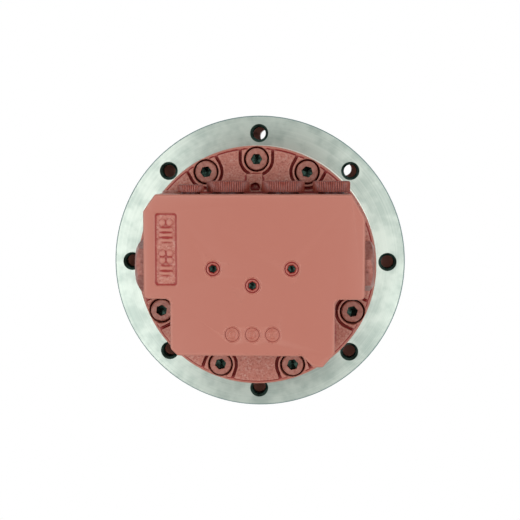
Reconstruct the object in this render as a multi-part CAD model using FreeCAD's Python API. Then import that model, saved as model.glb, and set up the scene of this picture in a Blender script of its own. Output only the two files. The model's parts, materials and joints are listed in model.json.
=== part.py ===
# Final drive of a small crawler excavator: a two-stage planetary hub with a built-in axial piston motor.
# Millimetres, +Z along the spin axis. The drive stands on its end cover, motor side up; the origin is the
# centre of the end cover's outer face. Names that end in _bottom, _top, _face or _height are heights.
import FreeCAD
import Part
import math
import os

Vector = FreeCAD.Vector
UP = Vector(0, 0, 1)

# ---- gear train -------------------------------------------------------------------------------------
gear_module = 2.0
pressure_angle = math.radians(25)
ring_teeth = 78
first_sun_teeth = 12
second_sun_teeth = 18
planet_count = 3
flank_gap = 0.12              # each flank is set back this far, so meshing teeth run with play
tooth_depth_below = 1.25      # dedendum, in modules
first_face_width = 16.0
second_face_width = 24.0
spline_module = 1.25
spline_pressure_angle = math.radians(30)
spline_gap = 0.05

first_planet_teeth = (ring_teeth - first_sun_teeth) // 2
second_planet_teeth = (ring_teeth - second_sun_teeth) // 2
first_centre_distance = gear_module * (first_sun_teeth + first_planet_teeth) / 2
second_centre_distance = gear_module * (second_sun_teeth + second_planet_teeth) / 2
ring_tip_radius = gear_module * (ring_teeth / 2 - 1)
ring_root_radius = gear_module * (ring_teeth / 2 + tooth_depth_below)

# ---- planets, pins and carriers -----------------------------------------------------------------------
roller_diameter = 3.0
roller_count = 15
roller_gap = 0.1
first_pin_radius = 8.0
second_pin_radius = 11.0
pin_head_thickness = 2.0
pin_head_gap = 0.5
carrier_rim = 6.0             # metal outside each pin hole of the first carrier
second_carrier_rim = 7.0      # the same for the second carrier
first_carrier_thickness = 9.0
second_carrier_thickness = 16.0
carrier_gap = 2.5             # between a carrier plate and the planets beside it
carrier_step = 2.5            # the carrier's raised middle, which clamps the bearing rings
carrier_step_reach = 6.0      # how far it covers them
carrier_screw_spread = math.radians(20)
stage_gap = 4.0               # between the first carrier and the second-stage planets

# ---- end cover and hub ----------------------------------------------------------------------------------
cover_thickness = 16.0
cover_spigot = 5.0
spigot_wall = 7.0
cover_seal_radius = 1.5
gear_end_gap = 1.0
hub_wall = 17.5               # outside the roots of the ring gear teeth
bearing_step_gap = 1.5
cover_screw_count = 12
cover_screw_inset = 8.5
oil_plug_count = 3
oil_plug_radius = 8.3
oil_plug_circle = 60.0
oil_plug_length = 12.0
sprocket_flange_reach = 26.0  # how far the sprocket flange stands out from the drum
sprocket_flange_thickness = 16.0
sprocket_hole_inset = 14.5
sprocket_hole_radius = 6.0
sprocket_hole_count = 9
sprocket_first_hole = math.radians(87.2)
sprocket_flange_drop = 25.0   # top of the sprocket flange below the frame flange's face
neck_lip = 3.5

# ---- main bearings and floating seal --------------------------------------------------------------------
tube_radius = 55.0            # spindle outside, bearing bore
bearing_section = 17.0
bearing_width = 16.0
bearing_shoulder = 3.0        # hub rib between the outer rings
bearing_ball_diameter = 11.0
bearing_ball_count = 26
race_gap = 0.1
seal_cord_radius = 2.5
seal_face_thickness = 2.5
seal_ring_wall = 6.0
seal_pocket_depth = 8.5
seal_running_gap = 0.02
seal_neck_gap = 5.0           # between the fixed seal ring and the spindle's neck
seal_pocket_wall = 5.0        # between the seal's pocket and the threads of the rear flange's screws
shoulder_depth = 4.0          # the hub rib reaches this far in over the outer rings

# ---- spindle and frame flange ---------------------------------------------------------------------------
frame_flange_thickness = 16.0
core_thickness = 19.0
seal_to_face = 29.0           # top of the upper bearing to the frame flange's face
flange_rim_width = 26.5       # bare ring outside the pilot
frame_hole_inset = 15.0
frame_hole_radius = 6.0
frame_hole_chamfer = 1.8
frame_hole_count = 8
edge_chamfer = 1.0
core_margin = 7.3
labyrinth_gap = 1.5

# ---- rear flange ----------------------------------------------------------------------------------------
rear_screw_inset = 11.3       # screw circle inside the pilot, which enters the machine's frame
rear_screw_angles = (90.0, 61.7, 118.3, -25.5, 205.5, 250.0, 290.0)
land_height = 46.0            # rough cast lands above the frame flange's face
rim_step = 4.5
rim_width = 3.0
screw_seat_height = 32.0
counterbore_radius = 10.5
moat_inner = 12.2
moat_width = 2.4
cavity_radius = 62.0
column_left = 8.0
column_right = 5.0
column_recess_radius = 4.0

# ---- screws ---------------------------------------------------------------------------------------------
m12_radius = 6.0
m12_head_radius = 9.0
m12_head_height = 12.0
m12_socket = 10.0
m12_thread_length = 16.0
m8_radius = 4.0
m8_head_radius = 6.5
m8_head_height = 8.0
m8_socket = 6.0
m8_thread_length = 15.0
m8_sink = 0.6
thread_gap = 0.05

# ---- port block -----------------------------------------------------------------------------------------
block_height = 107.0          # cover face above the frame flange's face
block_left = 85.3
block_right = 87.5
block_top = 60.3
block_foot = 8.5              # the foot at the lower right reaches this far below the block
foot_inset = 9.4
foot_width = 7.6
foot_slope = 8.0
block_side_cut = 5.5
foot_side_cut = 2.5
notch_side_gap = 4.7          # beside the counterbores of the two side screws
notch_top_gap = 6.0           # above them
block_bottom_gap = 6.4        # above the counterbores of the two lower screws
left_cut_x = 9.4
left_cut_y = 13.3
right_cut_x = 10.6
right_cut_y = 18.5
corner_radius = 4.0
small_corner = 1.5
block_edge = 0.8
valve_axis_height = 84.0
valve_axis_y = 3.3
valve_plug_flats = 36.0
valve_plug_turn = math.radians(13)
valve_plug_reach = 7.6
valve_thread_radius = 16.5
valve_thread_length = 14.0
spring_pocket_margin = 3.0    # the springs' pockets are this much deeper than the spool's travel
spool_radius = 11.0
spool_half_length = 46.0
spool_gap = 0.15
spool_groove_depth = 4.0
spool_travel = 5.0            # each way
spool_land = 12.0             # the spool's collars and grooves along its axis
passage_plug_radius = 6.0
passage_plug_length = 9.0
passage_plug_places = ((-30.7, 2.4), (30.6, 2.5), (0.0, -10.7))
passage_socket = 5.5
disc_radius = 6.2
disc_thickness = 4.0
disc_places = (-15.7, 0.0, 15.8)
disc_y = -49.0
panel_left = 76.3
panel_right = 58.5
panel_bottom = -11.1
panel_top = 45.9
panel_depth = 1.0
panel_corner = 2.5
tally_bars = (9.0, 13.0, 35.0, 39.0, 43.0)   # above the panel's lower edge
tally_dots = (20.0, 25.5, 49.5)
tally_length = 9.0
tally_width = 1.6
tally_dot_radius = 1.7
tally_dot_spread = 2.8
tally_relief = 0.1            # the marks end this far below the cover face

# ---- ports and their transport caps (x, height above the flange face, bore, cap radius, cap height) -----
port_depth = 22.0
cap_lift = 0.8                # gap between a cap's skirt and the block
main_port_bore = 10.5
main_cap_radius = 17.2
main_cap_height = 10.3
main_port_places = (-21.0, 23.0)
main_port_height = 76.0
drain_port_bore = 8.5
drain_cap_radius = 15.0
drain_cap_height = 10.2
drain_port_x = 61.5
drain_port_height = 73.0
pilot_port_bore = 5.5
pilot_cap_radius = 10.5
pilot_cap_height = 7.4
pilot_port_x = -49.6
pilot_port_height = 90.0
passage_radius = 5.0
selector_x = -64.6
selector_height = 63.0
selector_plug_radius = 11.0
selector_plug_head = 2.2
selector_thread_radius = 7.0
selector_thread_length = 8.0
selector_spool_radius = 5.0
selector_spool_length = 18.0
selector_travel = 4.0
selector_spring_length = 10.0
selector_groove_start = 6.0
selector_groove_width = 5.0
selector_groove_depth = 1.5

# ---- motor ----------------------------------------------------------------------------------------------
socket_radius = 15.0          # lower end of the motor shaft, also its bearing seat
socket_depth = 18.0
socket_drop = 15.0            # how far the socket reaches below the spindle's end
shaft_radius = 11.0
journal_radius = 9.0
oil_seal_outer = 24.0
oil_seal_width = 8.0
web_thickness = 5.0
web_clearance = 2.5
shaft_bearing_outer = 31.0
shaft_bearing_width = 16.0
rear_bearing_outer = 18.0
rear_bearing_width = 12.0
ball_share = 0.2065           # ball diameter over pitch diameter, the same for both shaft bearings
shaft_ball_count = 9
swash_radius = 40.0
swash_bore = 15.0
swash_thickness = 16.0
swash_cavity_radius = 42.0
pivot_ball_radius = 5.0
pivot_circle = 36.5
speed_piston_radius = 4.5
speed_piston_length = 14.0
cylinder_block_radius = 38.0
cylinder_block_length = 38.0
cylinder_block_gap = 11.5     # swash plate to cylinder block
piston_count = 9
piston_radius = 7.0
piston_circle = 25.0
piston_insertion = 24.0
piston_gap = 0.05
slipper_radius = 8.0
slipper_thickness = 3.5
slipper_neck = 5.5
retainer_radius = 35.0
retainer_thickness = 2.5
valve_plate_radius = 33.0
valve_plate_thickness = 4.0
kidney_half_width = 4.0
drive_slot_count = 8
drive_slot_depth = 2.5
drive_slot_width = 8.0
drive_slot_gap = 0.2

# ---- parking brake --------------------------------------------------------------------------------------
brake_bore_radius = 52.4
brake_plate_thickness = 2.5
brake_disc_thickness = 3.0
brake_disc_count = 2
brake_disc_outer = 50.0
brake_lug_radius = 4.0
brake_lug_count = 4
brake_gap = 0.3
brake_piston_inner = 41.0
brake_piston_height = 18.0
brake_spring_count = 8
brake_spring_radius = 4.5
brake_spring_wire = 0.9
brake_spring_pocket = 10.0
brake_spring_circle = 51.5

# ---- heights, from the end cover's outer face upwards ----------------------------------------------------
cover_top = cover_thickness
spigot_top = cover_top + cover_spigot
first_bottom = spigot_top + gear_end_gap
first_top = first_bottom + first_face_width
first_carrier_bottom = first_top + carrier_gap
first_carrier_top = first_carrier_bottom + first_carrier_thickness
second_bottom = first_carrier_top + stage_gap
second_top = second_bottom + second_face_width
second_carrier_bottom = second_top + carrier_gap
spindle_end = second_carrier_bottom + second_carrier_thickness
bearing_middle = spindle_end + bearing_width + bearing_shoulder / 2
bearing_top = spindle_end + 2 * bearing_width + bearing_shoulder
ring_face = bearing_top + seal_to_face
core_bottom = ring_face - core_thickness
flange_bottom = ring_face - frame_flange_thickness
seal_face = core_bottom - 1.0
neck_top = seal_face - 1.0
sprocket_flange_top = ring_face - sprocket_flange_drop
sprocket_flange_bottom = sprocket_flange_top - sprocket_flange_thickness
web_top = spindle_end + web_thickness
oil_seal_top = web_top + oil_seal_width
shaft_bearing_top = oil_seal_top + 0.5 + shaft_bearing_width
swash_bottom = shaft_bearing_top + 0.5
swash_top = swash_bottom + swash_thickness
block_bottom_face = swash_top + cylinder_block_gap
block_top_face = block_bottom_face + cylinder_block_length
cavity_top = block_top_face + valve_plate_thickness
rear_bearing_top = cavity_top + rear_bearing_width
brake_stack = brake_disc_count * (brake_plate_thickness + brake_disc_thickness) + brake_plate_thickness
brake_piston_bottom = ring_face - 0.5
brake_floor = brake_piston_bottom - brake_stack
brake_piston_top = brake_piston_bottom + brake_piston_height
cover_face = ring_face + block_height
land_top = ring_face + land_height
rim_top = land_top - rim_step
screw_seat = ring_face + screw_seat_height
valve_axis_z = ring_face + valve_axis_height

cover_seal_height = cover_top + cover_spigot / 2

# ---- radii that follow from others -----------------------------------------------------------------------
drum_radius = ring_root_radius + hub_wall
spigot_radius = ring_root_radius + 2.5
second_carrier_radius = second_centre_distance + second_pin_radius + second_carrier_rim
cover_seal_circle = spigot_radius - cover_seal_radius - 0.02
bearing_outer_radius = tube_radius + bearing_section
seal_body_outer = bearing_outer_radius
seal_ring_inner = seal_body_outer - seal_ring_wall
neck_outer = seal_ring_inner - seal_neck_gap
seal_pocket_outer = seal_body_outer + 2 * seal_cord_radius + 0.2
rear_screw_circle = seal_pocket_outer + seal_pocket_wall + m12_radius
pilot_radius = rear_screw_circle + rear_screw_inset
frame_flange_radius = pilot_radius + flange_rim_width
frame_hole_circle = frame_flange_radius - frame_hole_inset
core_radius = rear_screw_circle + core_margin
neck_inner = core_radius + labyrinth_gap
neck_radius = neck_inner + neck_lip
sprocket_flange_radius = drum_radius + sprocket_flange_reach
sprocket_hole_circle = sprocket_flange_radius - sprocket_hole_inset
cover_screw_circle = drum_radius - cover_screw_inset
side_screw_angle = math.radians(rear_screw_angles[3])
lower_screw_angle = math.radians(rear_screw_angles[5])
notch_side = rear_screw_circle * math.cos(side_screw_angle) - counterbore_radius - notch_side_gap
notch_top = -rear_screw_circle * math.sin(side_screw_angle) - counterbore_radius - notch_top_gap
block_bottom = -rear_screw_circle * math.sin(lower_screw_angle) - counterbore_radius - block_bottom_gap
valve_spring_pocket = spool_travel + spring_pocket_margin


# ---- shape helpers ---------------------------------------------------------------------------------------
def at(radius, angle, height=0.0):
    return Vector(radius * math.cos(angle), radius * math.sin(angle), height)


def cylinder(radius, bottom, top, x=0.0, y=0.0):
    return Part.makeCylinder(radius, top - bottom, Vector(x, y, bottom), UP)


def tube(outer, inner, bottom, top, x=0.0, y=0.0):
    return cylinder(outer, bottom, top, x, y).cut(cylinder(inner, bottom - 1, top + 1, x, y))


def rod(radius, start, end):
    along = end.sub(start)
    return Part.makeCylinder(radius, along.Length, start, along)


def cone(low_radius, high_radius, bottom, top, x=0.0, y=0.0):
    return Part.makeCone(low_radius, high_radius, top - bottom, Vector(x, y, bottom), UP)


def turned(outline):
    """A solid of revolution from (radius, height) points."""
    points = [Vector(radius, 0, height) for radius, height in outline]
    face = Part.Face(Part.makePolygon(points + [points[0]]))
    return face.revolve(Vector(0, 0, 0), UP, 360)


def prism(points, bottom, top):
    corners = [Vector(x, y, bottom) for x, y in points]
    face = Part.Face(Part.makePolygon(corners + [corners[0]]))
    return face.extrude(Vector(0, 0, top - bottom))


def hexagon(flats, bottom, top, x=0.0, y=0.0, turn=0.0):
    reach = flats / math.sqrt(3)
    angles = [turn + math.radians(60 * side) for side in range(6)]
    return prism([(x + reach * math.cos(a), y + reach * math.sin(a)) for a in angles], bottom, top)


def rounded_prism(corners, bottom, top):
    """Upright prism of (x, y, corner radius) points, its corners rounded by arcs."""
    edges = []
    starts = []
    ends = []
    count = len(corners)
    for index, (x, y, radius) in enumerate(corners):
        corner = Vector(x, y, bottom)
        back = Vector(*corners[index - 1][:2], bottom).sub(corner).normalize()
        ahead = Vector(*corners[(index + 1) % count][:2], bottom).sub(corner).normalize()
        half = back.getAngle(ahead) / 2
        reach = radius / math.tan(half)
        starts.append(corner.add(back * reach))
        ends.append(corner.add(ahead * reach))
        if radius > 0:
            middle_way = back.add(ahead).normalize()
            middle = corner.add(middle_way * (radius / math.sin(half) - radius))
            edges.append(Part.Arc(starts[-1], middle, ends[-1]).toShape())
    for index in range(count):
        edges.append(Part.LineSegment(ends[index - 1], starts[index]).toShape())
    wire = Part.Wire(Part.__sortEdges__(edges))
    return Part.Face(wire).extrude(Vector(0, 0, top - bottom))


def about_axis(shape, angle):
    copy = shape.copy()
    copy.rotate(Vector(0, 0, 0), UP, math.degrees(angle))
    return copy


def around(shape, count, first=0.0):
    return [about_axis(shape, first + 2 * math.pi * step / count) for step in range(count)]


def moved(shape, x, y, z=0.0):
    copy = shape.copy()
    copy.translate(Vector(x, y, z))
    return copy


def merged(shapes):
    return shapes[0].multiFuse(shapes[1:]).removeSplitter()


def without(shape, cutters):
    for cutter in cutters:
        shape = shape.cut(cutter)
    return shape


def group(solids):
    return Part.makeCompound(solids)


def save(name, shape):
    shape.exportStep(os.path.join("parts", name + ".step"))


# ---- gears and splines -----------------------------------------------------------------------------------
def involute(angle):
    return math.tan(angle) - angle


def toothed(teeth, module, angle, tip, root, gap, bottom, top, phase=0.0):
    """External gear form with involute flanks; a tooth's middle lies at the phase angle."""
    flank_steps = 3
    pitch = module * teeth / 2
    base = pitch * math.cos(angle)
    start = max(root, base)
    half_at_pitch = math.pi / (2 * teeth) - gap / pitch
    flank = []
    for step in range(flank_steps + 1):
        radius = start + (tip - start) * step / flank_steps
        roll = math.acos(min(1.0, base / radius))
        flank.append((radius, half_at_pitch + involute(angle) - involute(roll)))
    if root < start:
        flank.insert(0, (root, flank[0][1]))
    points = []
    for tooth in range(teeth):
        middle = phase + 2 * math.pi * tooth / teeth
        for radius, half in flank:
            points.append(at(radius, middle - half, bottom))
        for radius, half in reversed(flank):
            points.append(at(radius, middle + half, bottom))
    face = Part.Face(Part.makePolygon(points + [points[0]]))
    return face.extrude(Vector(0, 0, top - bottom))


def gear(teeth, bottom, top, phase):
    pitch = gear_module * teeth / 2
    tip = pitch + gear_module
    root = pitch - tooth_depth_below * gear_module
    blank = toothed(teeth, gear_module, pressure_angle, tip, root, flank_gap, bottom, top, phase)
    bevel = 0.4 * gear_module
    lower = cone(tip - bevel, tip + 0.1, bottom, bottom + bevel + 0.1)
    upper = cone(tip + 0.1, tip - bevel, top - bevel - 0.1, top)
    envelope = merged([lower, cylinder(tip + 0.1, bottom + bevel + 0.1, top - bevel - 0.1), upper])
    return blank.common(envelope)


def spline(teeth, bottom, top, gap):
    """Splined shaft form; a negative gap makes the wider form that cuts the matching hole."""
    pitch = spline_module * teeth / 2
    tip = pitch + 0.7 * spline_module - gap
    root = pitch - 0.8 * spline_module - gap
    return toothed(teeth, spline_module, spline_pressure_angle, tip, root, gap, bottom, top)


def planet_phase(teeth, sun_teeth, sun_phase, angle):
    """Turns a planet so that its teeth enter the sun's spaces at the given place."""
    sun_share = sun_teeth * (angle - sun_phase) / (2 * math.pi)
    return angle + math.pi - (2 * math.pi / teeth) * (0.5 - sun_share)


ring_phase = math.pi * first_planet_teeth / ring_teeth
second_sun_phase = (math.pi * second_planet_teeth - ring_teeth * ring_phase) / second_sun_teeth
first_planet_angles = [2 * math.pi * step / planet_count for step in range(planet_count)]
second_planet_angles = [2 * math.pi * step / planet_count for step in range(planet_count)]
stem_teeth = 13
stem_radius = spline_module * stem_teeth / 2 - 0.8 * spline_module
second_sun_bore = spline_module * (stem_teeth / 2 + 0.7) + 1.0
shaft_spline_teeth = 17


# ---- screws, plugs, rings --------------------------------------------------------------------------------
def socket_screw(radius, head_radius, head_height, socket, seat, length):
    """Socket-head screw pointing down, its head above the seat height."""
    bevel = 0.08 * head_radius
    head = turned([
        (0, seat), (head_radius, seat), (head_radius, seat + head_height - bevel),
        (head_radius - bevel, seat + head_height), (0, seat + head_height),
    ])
    recess = hexagon(socket, seat + 0.45 * head_height, seat + head_height + 1)
    shank = turned([
        (0, seat + 0.1), (radius, seat + 0.1), (radius, seat - length + 1.5),
        (radius - 1.5, seat - length), (0, seat - length),
    ])
    return merged([head.cut(recess), shank])


def upside_down(shape, height):
    """Mirrors a shape through the level of the given height, so that what points down points up."""
    return shape.mirror(Vector(0, 0, height), UP)


def spring(wire_radius, coil_radius, bottom, top, turns):
    """Upright compression spring around the Z axis."""
    low = bottom + wire_radius
    pitch = (top - bottom - 2 * wire_radius) / turns
    path = Part.Wire(Part.makeHelix(pitch, pitch * turns, coil_radius).Edges)
    path.translate(Vector(0, 0, low))
    circle = Part.Circle(Vector(coil_radius, 0, low), Vector(0, 1, 0), wire_radius)
    section = Part.Wire([circle.toShape()])
    return path.makePipeShell([section], True, True)


def along_x(shape):
    copy = shape.copy()
    copy.rotate(Vector(0, 0, 0), Vector(0, 1, 0), 90)
    return copy


def along_y(shape):
    copy = shape.copy()
    copy.rotate(Vector(0, 0, 0), Vector(1, 0, 0), -90)
    return copy


def ball_ring(ball_radius, circle, height, count):
    return [Part.makeSphere(ball_radius, at(circle, 2 * math.pi * k / count, height)) for k in range(count)]


# ---- hub group -------------------------------------------------------------------------------------------
def make_hub():
    lip_top = flange_bottom - labyrinth_gap
    outside = [
        (drum_radius, cover_top), (drum_radius, sprocket_flange_bottom),
        (sprocket_flange_radius - edge_chamfer, sprocket_flange_bottom),
        (sprocket_flange_radius, sprocket_flange_bottom + edge_chamfer),
        (sprocket_flange_radius, sprocket_flange_top - edge_chamfer),
        (sprocket_flange_radius - edge_chamfer, sprocket_flange_top),
        (neck_radius, sprocket_flange_top), (neck_radius, lip_top),
    ]
    inside = [
        (neck_inner, lip_top), (neck_inner, neck_top), (seal_pocket_outer, neck_top),
        (seal_pocket_outer, seal_face - seal_pocket_depth),
        (bearing_outer_radius, seal_face - seal_pocket_depth),
        (bearing_outer_radius, bearing_middle + bearing_shoulder / 2),
        (bearing_outer_radius - shoulder_depth, bearing_middle + bearing_shoulder / 2),
        (bearing_outer_radius - shoulder_depth, bearing_middle - bearing_shoulder / 2),
        (bearing_outer_radius, bearing_middle - bearing_shoulder / 2),
        (bearing_outer_radius, spindle_end + bearing_step_gap),
        (ring_tip_radius, spindle_end + bearing_step_gap),
        (ring_tip_radius, spigot_top + 0.5), (spigot_radius, spigot_top + 0.5), (spigot_radius, cover_top),
    ]
    body = turned(outside + inside)
    teeth_top = second_top + 1.5
    spaces = toothed(ring_teeth, gear_module, pressure_angle, ring_root_radius, ring_tip_radius - 0.3,
                     -flank_gap, cover_top - 1, teeth_top, ring_phase + math.pi / ring_teeth)
    lower_seat = cylinder(bearing_outer_radius, spindle_end, bearing_middle - bearing_shoulder / 2)
    body = without(body, [spaces, lower_seat])
    tapped = cylinder(m8_radius + thread_gap, cover_top - 1, cover_top + m8_thread_length + 2,
                      cover_screw_circle, 0)
    holes = around(tapped, cover_screw_count, math.radians(15))
    sprocket_hole = merged([
        cylinder(sprocket_hole_radius, sprocket_flange_bottom - 1, sprocket_flange_top + 1,
                 sprocket_hole_circle, 0),
        cone(sprocket_hole_radius + 2.5, sprocket_hole_radius, sprocket_flange_bottom - 1,
             sprocket_flange_bottom + 1.5, sprocket_hole_circle, 0),
    ])
    holes += around(sprocket_hole, sprocket_hole_count, sprocket_first_hole)
    return without(body, holes)


def make_end_cover():
    inner_wall = spigot_radius - spigot_wall
    body = turned([
        (0, 0), (drum_radius - 2 * edge_chamfer, 0), (drum_radius, 2 * edge_chamfer),
        (drum_radius, cover_top), (spigot_radius, cover_top), (spigot_radius, spigot_top),
        (inner_wall, spigot_top), (inner_wall, cover_top), (0, cover_top),
    ])
    groove = tube(spigot_radius + 1, cover_seal_circle - cover_seal_radius - 0.1,
                  cover_seal_height - cover_seal_radius - 0.1, cover_seal_height + cover_seal_radius + 0.1)
    head_top = m8_sink + m8_head_height
    screw_hole = merged([
        cylinder(m8_head_radius + 0.5, -1, head_top, cover_screw_circle, 0),
        cylinder(m8_radius + thread_gap, -1, cover_top + 1, cover_screw_circle, 0),
    ])
    plug_hole = cylinder(oil_plug_radius + thread_gap, -1, cover_top + 1, oil_plug_circle, 0)
    cutters = [groove] + around(screw_hole, cover_screw_count, math.radians(15))
    cutters += around(plug_hole, oil_plug_count, math.radians(90))
    return without(body, cutters)


def make_cover_screws():
    seat = m8_sink + m8_head_height
    upright = socket_screw(m8_radius, m8_head_radius, m8_head_height, m8_socket, 0,
                           cover_top - seat + m8_thread_length)
    screw = moved(upside_down(upright, 0), cover_screw_circle, 0, seat)
    return around(screw, cover_screw_count, math.radians(15))


def make_oil_plugs():
    plug = cylinder(oil_plug_radius, 0.5, 0.5 + oil_plug_length, oil_plug_circle, 0)
    bevel = cone(oil_plug_radius - 1, oil_plug_radius + 0.01, 0.5, 1.5, oil_plug_circle, 0)
    upper = cylinder(oil_plug_radius + 1, 1.5, cover_top, oil_plug_circle, 0)
    plug = plug.common(merged([bevel, upper]))
    plug = plug.cut(hexagon(8, -1, 7, oil_plug_circle, 0))
    return around(plug, oil_plug_count, math.radians(90))


def bearing_ring(inner, outer, groove_circle, ball_radius, bottom, top, ball_height):
    body = tube(outer, inner, bottom, top)
    return body.cut(Part.makeTorus(groove_circle, ball_radius + race_gap, Vector(0, 0, ball_height), UP))


main_ball_radius = bearing_ball_diameter / 2
main_ball_circle = tube_radius + bearing_section / 2
main_race_wall = (bearing_section - 0.5 * bearing_ball_diameter) / 2
lower_ball_height = spindle_end + bearing_width / 2
upper_ball_height = bearing_top - bearing_width / 2


def make_main_inner_rings():
    outer = tube_radius + main_race_wall
    lower = bearing_ring(tube_radius, outer, main_ball_circle, main_ball_radius,
                         spindle_end, bearing_middle, lower_ball_height)
    upper = bearing_ring(tube_radius, outer, main_ball_circle, main_ball_radius,
                         bearing_middle, bearing_top, upper_ball_height)
    return [lower, upper]


def make_main_outer_rings():
    inner = bearing_outer_radius - main_race_wall
    lower = bearing_ring(inner, bearing_outer_radius, main_ball_circle, main_ball_radius,
                         spindle_end, bearing_middle - bearing_shoulder / 2, lower_ball_height)
    upper = bearing_ring(inner, bearing_outer_radius, main_ball_circle, main_ball_radius,
                         bearing_middle + bearing_shoulder / 2, bearing_top, upper_ball_height)
    return [lower, upper]


def make_seal_ring():
    """Turning half of the floating seal, its lapped face up at the seal face."""
    face = seal_face - seal_running_gap / 2
    return turned([
        (seal_ring_inner, face), (seal_pocket_outer - 1.5, face),
        (seal_pocket_outer - 1.5, face - seal_face_thickness),
        (seal_body_outer, face - seal_face_thickness), (seal_body_outer, face - seal_pocket_depth + 1.5),
        (seal_ring_inner, face - seal_pocket_depth + 1.5),
    ])


def make_seal_cord():
    circle = seal_body_outer + seal_cord_radius + 0.1
    height = seal_face - seal_face_thickness - seal_cord_radius - 0.1
    return Part.makeTorus(circle, seal_cord_radius, Vector(0, 0, height), UP)


# ---- spindle ---------------------------------------------------------------------------------------------
def make_spindle():
    pocket_top = seal_face + seal_pocket_depth
    body = turned([
        (socket_radius + web_clearance, spindle_end), (tube_radius, spindle_end), (tube_radius, bearing_top),
        (neck_outer, bearing_top), (neck_outer, pocket_top),
        (seal_pocket_outer, pocket_top), (seal_pocket_outer, core_bottom), (core_radius, core_bottom),
        (core_radius, flange_bottom), (frame_flange_radius - edge_chamfer, flange_bottom),
        (frame_flange_radius, flange_bottom + edge_chamfer),
        (frame_flange_radius, ring_face - edge_chamfer), (frame_flange_radius - edge_chamfer, ring_face),
        (brake_bore_radius, ring_face), (brake_bore_radius, brake_floor),
        (swash_cavity_radius, brake_floor), (swash_cavity_radius, swash_bottom),
        (shaft_bearing_outer, swash_bottom), (shaft_bearing_outer, oil_seal_top + 0.5),
        (oil_seal_outer, oil_seal_top + 0.5), (oil_seal_outer, web_top),
        (socket_radius + web_clearance, web_top),
    ])
    frame_hole = merged([
        cylinder(frame_hole_radius, flange_bottom - 1, ring_face + 1, frame_hole_circle, 0),
        cone(frame_hole_radius, frame_hole_radius + frame_hole_chamfer, ring_face - frame_hole_chamfer,
             ring_face, frame_hole_circle, 0),
        cone(frame_hole_radius + frame_hole_chamfer, frame_hole_radius, flange_bottom,
             flange_bottom + frame_hole_chamfer, frame_hole_circle, 0),
    ])
    cutters = around(frame_hole, frame_hole_count)
    for angle in rear_screw_angles:
        place = at(rear_screw_circle, math.radians(angle))
        cutters.append(cylinder(m12_radius + thread_gap, ring_face - m12_thread_length, ring_face + 1,
                                place.x, place.y))
    for place in second_screw_places():
        cutters.append(cylinder(m8_radius + thread_gap, spindle_end - 1, spindle_end + m8_thread_length + 1,
                                place.x, place.y))
    groove = cylinder(brake_lug_radius + brake_gap, brake_floor, ring_face + 1, brake_bore_radius, 0)
    cutters += around(groove, brake_lug_count, math.radians(45))
    for side in (-1, 1):
        pocket = Vector(0, side * pivot_circle, swash_bottom)
        cutters.append(Part.makeSphere(pivot_ball_radius + thread_gap, pocket))
    cutters.append(cylinder(speed_piston_radius + thread_gap, swash_bottom - speed_piston_length,
                            swash_bottom + 1, -pivot_circle, 0))
    return without(body, cutters)


def second_screw_places():
    angles = []
    for step in range(planet_count):
        between = 2 * math.pi * (step + 0.5) / planet_count
        angles += [between - carrier_screw_spread, between + carrier_screw_spread]
    middle = tube_radius - 0.5 * (tube_radius - swash_cavity_radius)
    return [at(middle, angle) for angle in angles]


def make_second_carrier():
    bore = socket_radius + web_clearance
    plate = tube(second_carrier_radius, bore, second_carrier_bottom, spindle_end - carrier_step)
    body = merged([plate, tube(tube_radius + carrier_step_reach, bore, second_carrier_bottom, spindle_end)])
    cutters = []
    for angle in second_planet_angles:
        place = at(second_centre_distance, angle)
        cutters.append(cylinder(second_pin_radius, second_carrier_bottom - 1, spindle_end + 1,
                                place.x, place.y))
    for place in second_screw_places():
        cutters.append(cylinder(m8_radius + thread_gap, second_carrier_bottom - 1, spindle_end + 1,
                                place.x, place.y))
        cutters.append(cylinder(m8_head_radius + 0.5, second_carrier_bottom - 1,
                                second_carrier_bottom + m8_head_height + m8_sink, place.x, place.y))
    return without(body, cutters)


def make_second_carrier_screws():
    seat = second_carrier_bottom + m8_head_height + m8_sink
    upright = socket_screw(m8_radius, m8_head_radius, m8_head_height, m8_socket, 0,
                           spindle_end - seat + m8_thread_length)
    screw = upside_down(upright, 0)
    return [moved(screw, place.x, place.y, seat) for place in second_screw_places()]


# ---- planets ---------------------------------------------------------------------------------------------
def planet_bore(pin_radius):
    return pin_radius + roller_diameter + 2 * roller_gap


def make_planet(teeth, pin_radius, bottom, top, distance, angle, sun_teeth, sun_phase):
    phase = planet_phase(teeth, sun_teeth, sun_phase, angle)
    body = gear(teeth, bottom, top, phase).cut(cylinder(planet_bore(pin_radius), bottom - 1, top + 1))
    place = at(distance, angle)
    return moved(body, place.x, place.y)


def make_rollers(pin_radius, bottom, top, distance, angles):
    circle = pin_radius + roller_diameter / 2 + roller_gap
    rollers = []
    for angle in angles:
        centre = at(distance, angle)
        for step in range(roller_count):
            place = centre.add(at(circle, 2 * math.pi * step / roller_count))
            rollers.append(cylinder(roller_diameter / 2, bottom + 0.5, top - 0.5, place.x, place.y))
    return rollers


def make_pins(pin_radius, bottom, plate_top, distance, angles):
    """Planet pins, each with a thin head below its planet and pressed into the carrier above it."""
    head_top = bottom - pin_head_gap
    head_radius = planet_bore(pin_radius) + 2
    pins = []
    for angle in angles:
        place = at(distance, angle)
        head = cylinder(head_radius, head_top - pin_head_thickness, head_top, place.x, place.y)
        pins.append(merged([head, cylinder(pin_radius, head_top - 1, plate_top, place.x, place.y)]))
    return pins


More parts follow.
